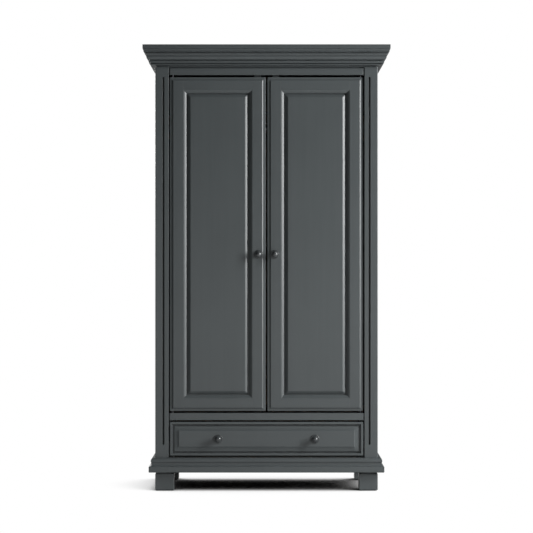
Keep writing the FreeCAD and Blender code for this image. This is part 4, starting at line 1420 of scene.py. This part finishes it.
class WARDROBE_OT_knobs(bpy.types.Operator):
    """Turned knobs on the doors and the drawer, and the screw heads behind the door knobs"""

    bl_idname = "wardrobe.knobs"
    bl_label = "Knobs"

    def execute(self, context):
        k = settings("knob")
        outline = knob_outline()
        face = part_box("right_door_meeting_stile")[0].y
        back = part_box("right_door_meeting_stile")[1].y
        toward_front, toward_back = (0, -1, 0), (0, 1, 0)
        for side, sign in SIDES:
            node = side + "_door_knob"
            x = sign * k.door_offset
            finish_node(node, [turned(outline, (x, face, k.door_height), toward_front)], Y)
            screw = turned(screw_outline(), (x, back, k.door_height), toward_back)
            material = material_for("steel", Y)
            make_piece(side + "_door_knob_screw_head", node, [screw], material, replaces=False)
        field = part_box("drawer_front")[0].y + settings("drawer").field_depth
        places = [(sign * k.drawer_offset, field, k.drawer_height) for _, sign in SIDES]
        finish_node("drawer_knobs", [turned(outline, place, toward_front) for place in places], Y)
        return {"FINISHED"}


class WARDROBE_OT_fittings(bpy.types.Operator):
    """Finishes for the solids that stay as they are: the back, the drawer runners and all the fittings"""

    bl_idname = "wardrobe.fittings"
    bl_label = "Fittings"

    def execute(self, context):
        for node, solid in frame["nodes"].items():
            if solid.hide_render:
                continue
            low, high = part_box(node)
            along = int(np.argmax(high - low))
            solid.data.materials.clear()
            solid.data.materials.append(material_for(SLOT_OF[node], along))
        return {"FINISHED"}


class WARDROBE_OT_studio(bpy.types.Operator):
    """Camera, soft lamps, white ground and background"""

    bl_idname = "wardrobe.studio"
    bl_label = "Studio"

    def execute(self, context):
        self.camera(context.scene)
        self.lamps(context.scene)
        self.floor(context.scene)
        self.background(context.scene)
        context.scene.view_settings.view_transform = "Standard"
        return {"FINISHED"}

    def camera(self, scene):
        """The camera stands before the middle of the case and looks level at it."""
        s = settings("studio")
        camera = bpy.data.cameras.new("camera")
        camera.lens = s.lens
        camera.sensor_width = SENSOR_WIDTH
        camera.clip_end = CLIP_END
        holder = bpy.data.objects.new("camera", camera)
        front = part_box("right_front_post")[0].y
        holder.location = (0, front - s.camera_distance, s.camera_height)
        holder.rotation_euler = (math.pi / 2, 0, 0)
        scene.collection.objects.link(holder)
        scene.camera = holder

    def lamps(self, scene):
        """Each lamp is a soft panel that faces the same point."""
        s = settings("studio")
        rows = (
            ("key_lamp", s.key_power, s.key_size, s.key_place),
            ("fill_lamp", s.fill_power, s.fill_size, s.fill_place),
            ("back_lamp", s.back_power, s.back_size, s.back_place),
        )
        for name, power, size, place in rows:
            lamp = bpy.data.lights.new(name, "AREA")
            lamp.shape = "RECTANGLE"
            lamp.size, lamp.size_y = size
            lamp.energy = power
            holder = bpy.data.objects.new(name, lamp)
            holder.location = place
            way = Vector(s.lamp_target) - Vector(place)
            holder.rotation_euler = way.to_track_quat("-Z", "Y").to_euler()
            scene.collection.objects.link(holder)

    def floor(self, scene):
        """A level sheet whose points are size (s, t, 0), for s and t from -1/2 to 1/2."""
        side = np.linspace(-0.5, 0.5, FLOOR_LINES) * FLOOR_SIZE
        across, deep = np.meshgrid(side, side, indexing="ij")
        points = np.stack((across, deep, np.zeros_like(across)), axis=-1).reshape(-1, 3)
        index = np.arange(len(points)).reshape(across.shape)
        quads = np.stack((index[:-1, :-1], index[1:, :-1], index[1:, 1:], index[:-1, 1:]), axis=-1)
        mesh = bpy.data.meshes.new("floor")
        mesh.from_pydata(points.tolist(), [], quads.reshape(-1, 4).tolist())
        mesh.materials.append(white_ground())
        sheet = bpy.data.objects.new("floor", mesh)
        scene.collection.objects.link(sheet)

    def background(self, scene):
        """White wherever the camera, a gloss or a glass looks, and an even grey light elsewhere."""
        s = settings("studio")
        scene.world = scene.world or bpy.data.worlds.new("background")
        scene.world.use_nodes = True
        kit = Finish("background", "ShaderNodeBackground", scene.world.node_tree)
        way = kit.node("ShaderNodeTexCoord", output="Generated")
        behind = kit.node("ShaderNodeSeparateXYZ", sockets={0: way}, output="Y")
        behind = behind.smooth(-BEHIND_LIMIT, BEHIND_LIMIT)
        kit.feed(kit.shader.inputs["Color"], opaque(tuple(settings("finish").ground)))
        kit.feed(kit.shader.inputs["Strength"], seen_directly(kit, behind).larger(s.sky_strength))
        kit.finish("ShaderNodeOutputWorld")


def seen_directly(kit, facing=1.0):
    """One for rays from the camera or through glass, a share for a gloss, and nought for other rays."""
    path = kit.tree.nodes.new("ShaderNodeLightPath")
    camera, glossy, glass = (
        Number(kit, path.outputs[name]) for name in ("Is Camera Ray", "Is Glossy Ray", "Is Transmission Ray")
    )
    return camera.larger(glass).larger(glossy * facing * settings("studio").gloss_share)


def white_ground():
    """White floor, shaded only near the object: the share (open - dark) / (white - dark) is plain white.

    open is the open share of the view up. That view leans to the side of the key lamp, so the shade reaches
    farther on the other side.
    """
    s = settings("studio")
    kit = Finish("white_ground", "ShaderNodeBsdfDiffuse")
    white = tuple(settings("finish").ground)
    black = (0.0, 0.0, 0.0)
    seen = seen_directly(kit)
    plain = kit.node("ShaderNodeEmission", sockets={"Color": opaque(white), "Strength": 1.0})
    toward = kit.node("ShaderNodeCombineXYZ", sockets={"X": s.floor_lean_share, "Z": 1.0})
    sockets = {"Distance": s.floor_reach, "Normal": toward}
    view_up = kit.node("ShaderNodeAmbientOcclusion", {"samples": SHADE_SAMPLES}, sockets, output="AO")
    # Painted shade: the floor's colour darkens with the open share of its view up, which leans away from the
    # key lamp like a cast shadow
    open_share = view_up.smooth(s.floor_dark_share, s.floor_white_share, "LINEAR")
    painted_floor_shade = kit.mix(open_share, black, white)
    kit.feed(kit.shader.inputs["Color"], kit.mix(seen, toned(white, s.floor_light_share), painted_floor_shade))
    factor = open_share * seen
    lit = Number(kit, kit.shader.outputs[0])
    kit.finish(shader=kit.node("ShaderNodeMixShader", sockets={0: factor, 1: lit, 2: plain}))
    return kit.material


class WARDROBE_PT_panel(bpy.types.Panel):
    """Lists the steps that build the wardrobe"""

    bl_idname = "WARDROBE_PT_panel"
    bl_label = "Wardrobe"
    bl_space_type = "VIEW_3D"
    bl_region_type = "UI"
    bl_category = "Wardrobe"

    def draw(self, context):
        for step in STEPS:
            self.layout.operator(step.bl_idname)


STEPS = (
    WARDROBE_OT_studio,
    WARDROBE_OT_feet,
    WARDROBE_OT_posts,
    WARDROBE_OT_sides,
    WARDROBE_OT_front_rails,
    WARDROBE_OT_cornice,
    WARDROBE_OT_base_moulding,
    WARDROBE_OT_inside,
    WARDROBE_OT_doors,
    WARDROBE_OT_drawer,
    WARDROBE_OT_knobs,
    WARDROBE_OT_fittings,
)


def register():
    for name, group in GROUPS.items():
        bpy.utils.register_class(group)
        setattr(bpy.types.Scene, "wardrobe_" + name, bpy.props.PointerProperty(type=group))
    for kind in (*STEPS, WARDROBE_PT_panel):
        bpy.utils.register_class(kind)


def unregister():
    for kind in (WARDROBE_PT_panel, *reversed(STEPS)):
        bpy.utils.unregister_class(kind)
    for name, group in reversed(GROUPS.items()):
        delattr(bpy.types.Scene, "wardrobe_" + name)
        bpy.utils.unregister_class(group)


def main():
    register()
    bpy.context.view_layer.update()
    for step in STEPS:
        getattr(bpy.ops.wardrobe, step.bl_idname.split(".")[1])()


if __name__ == "__main__":
    main()
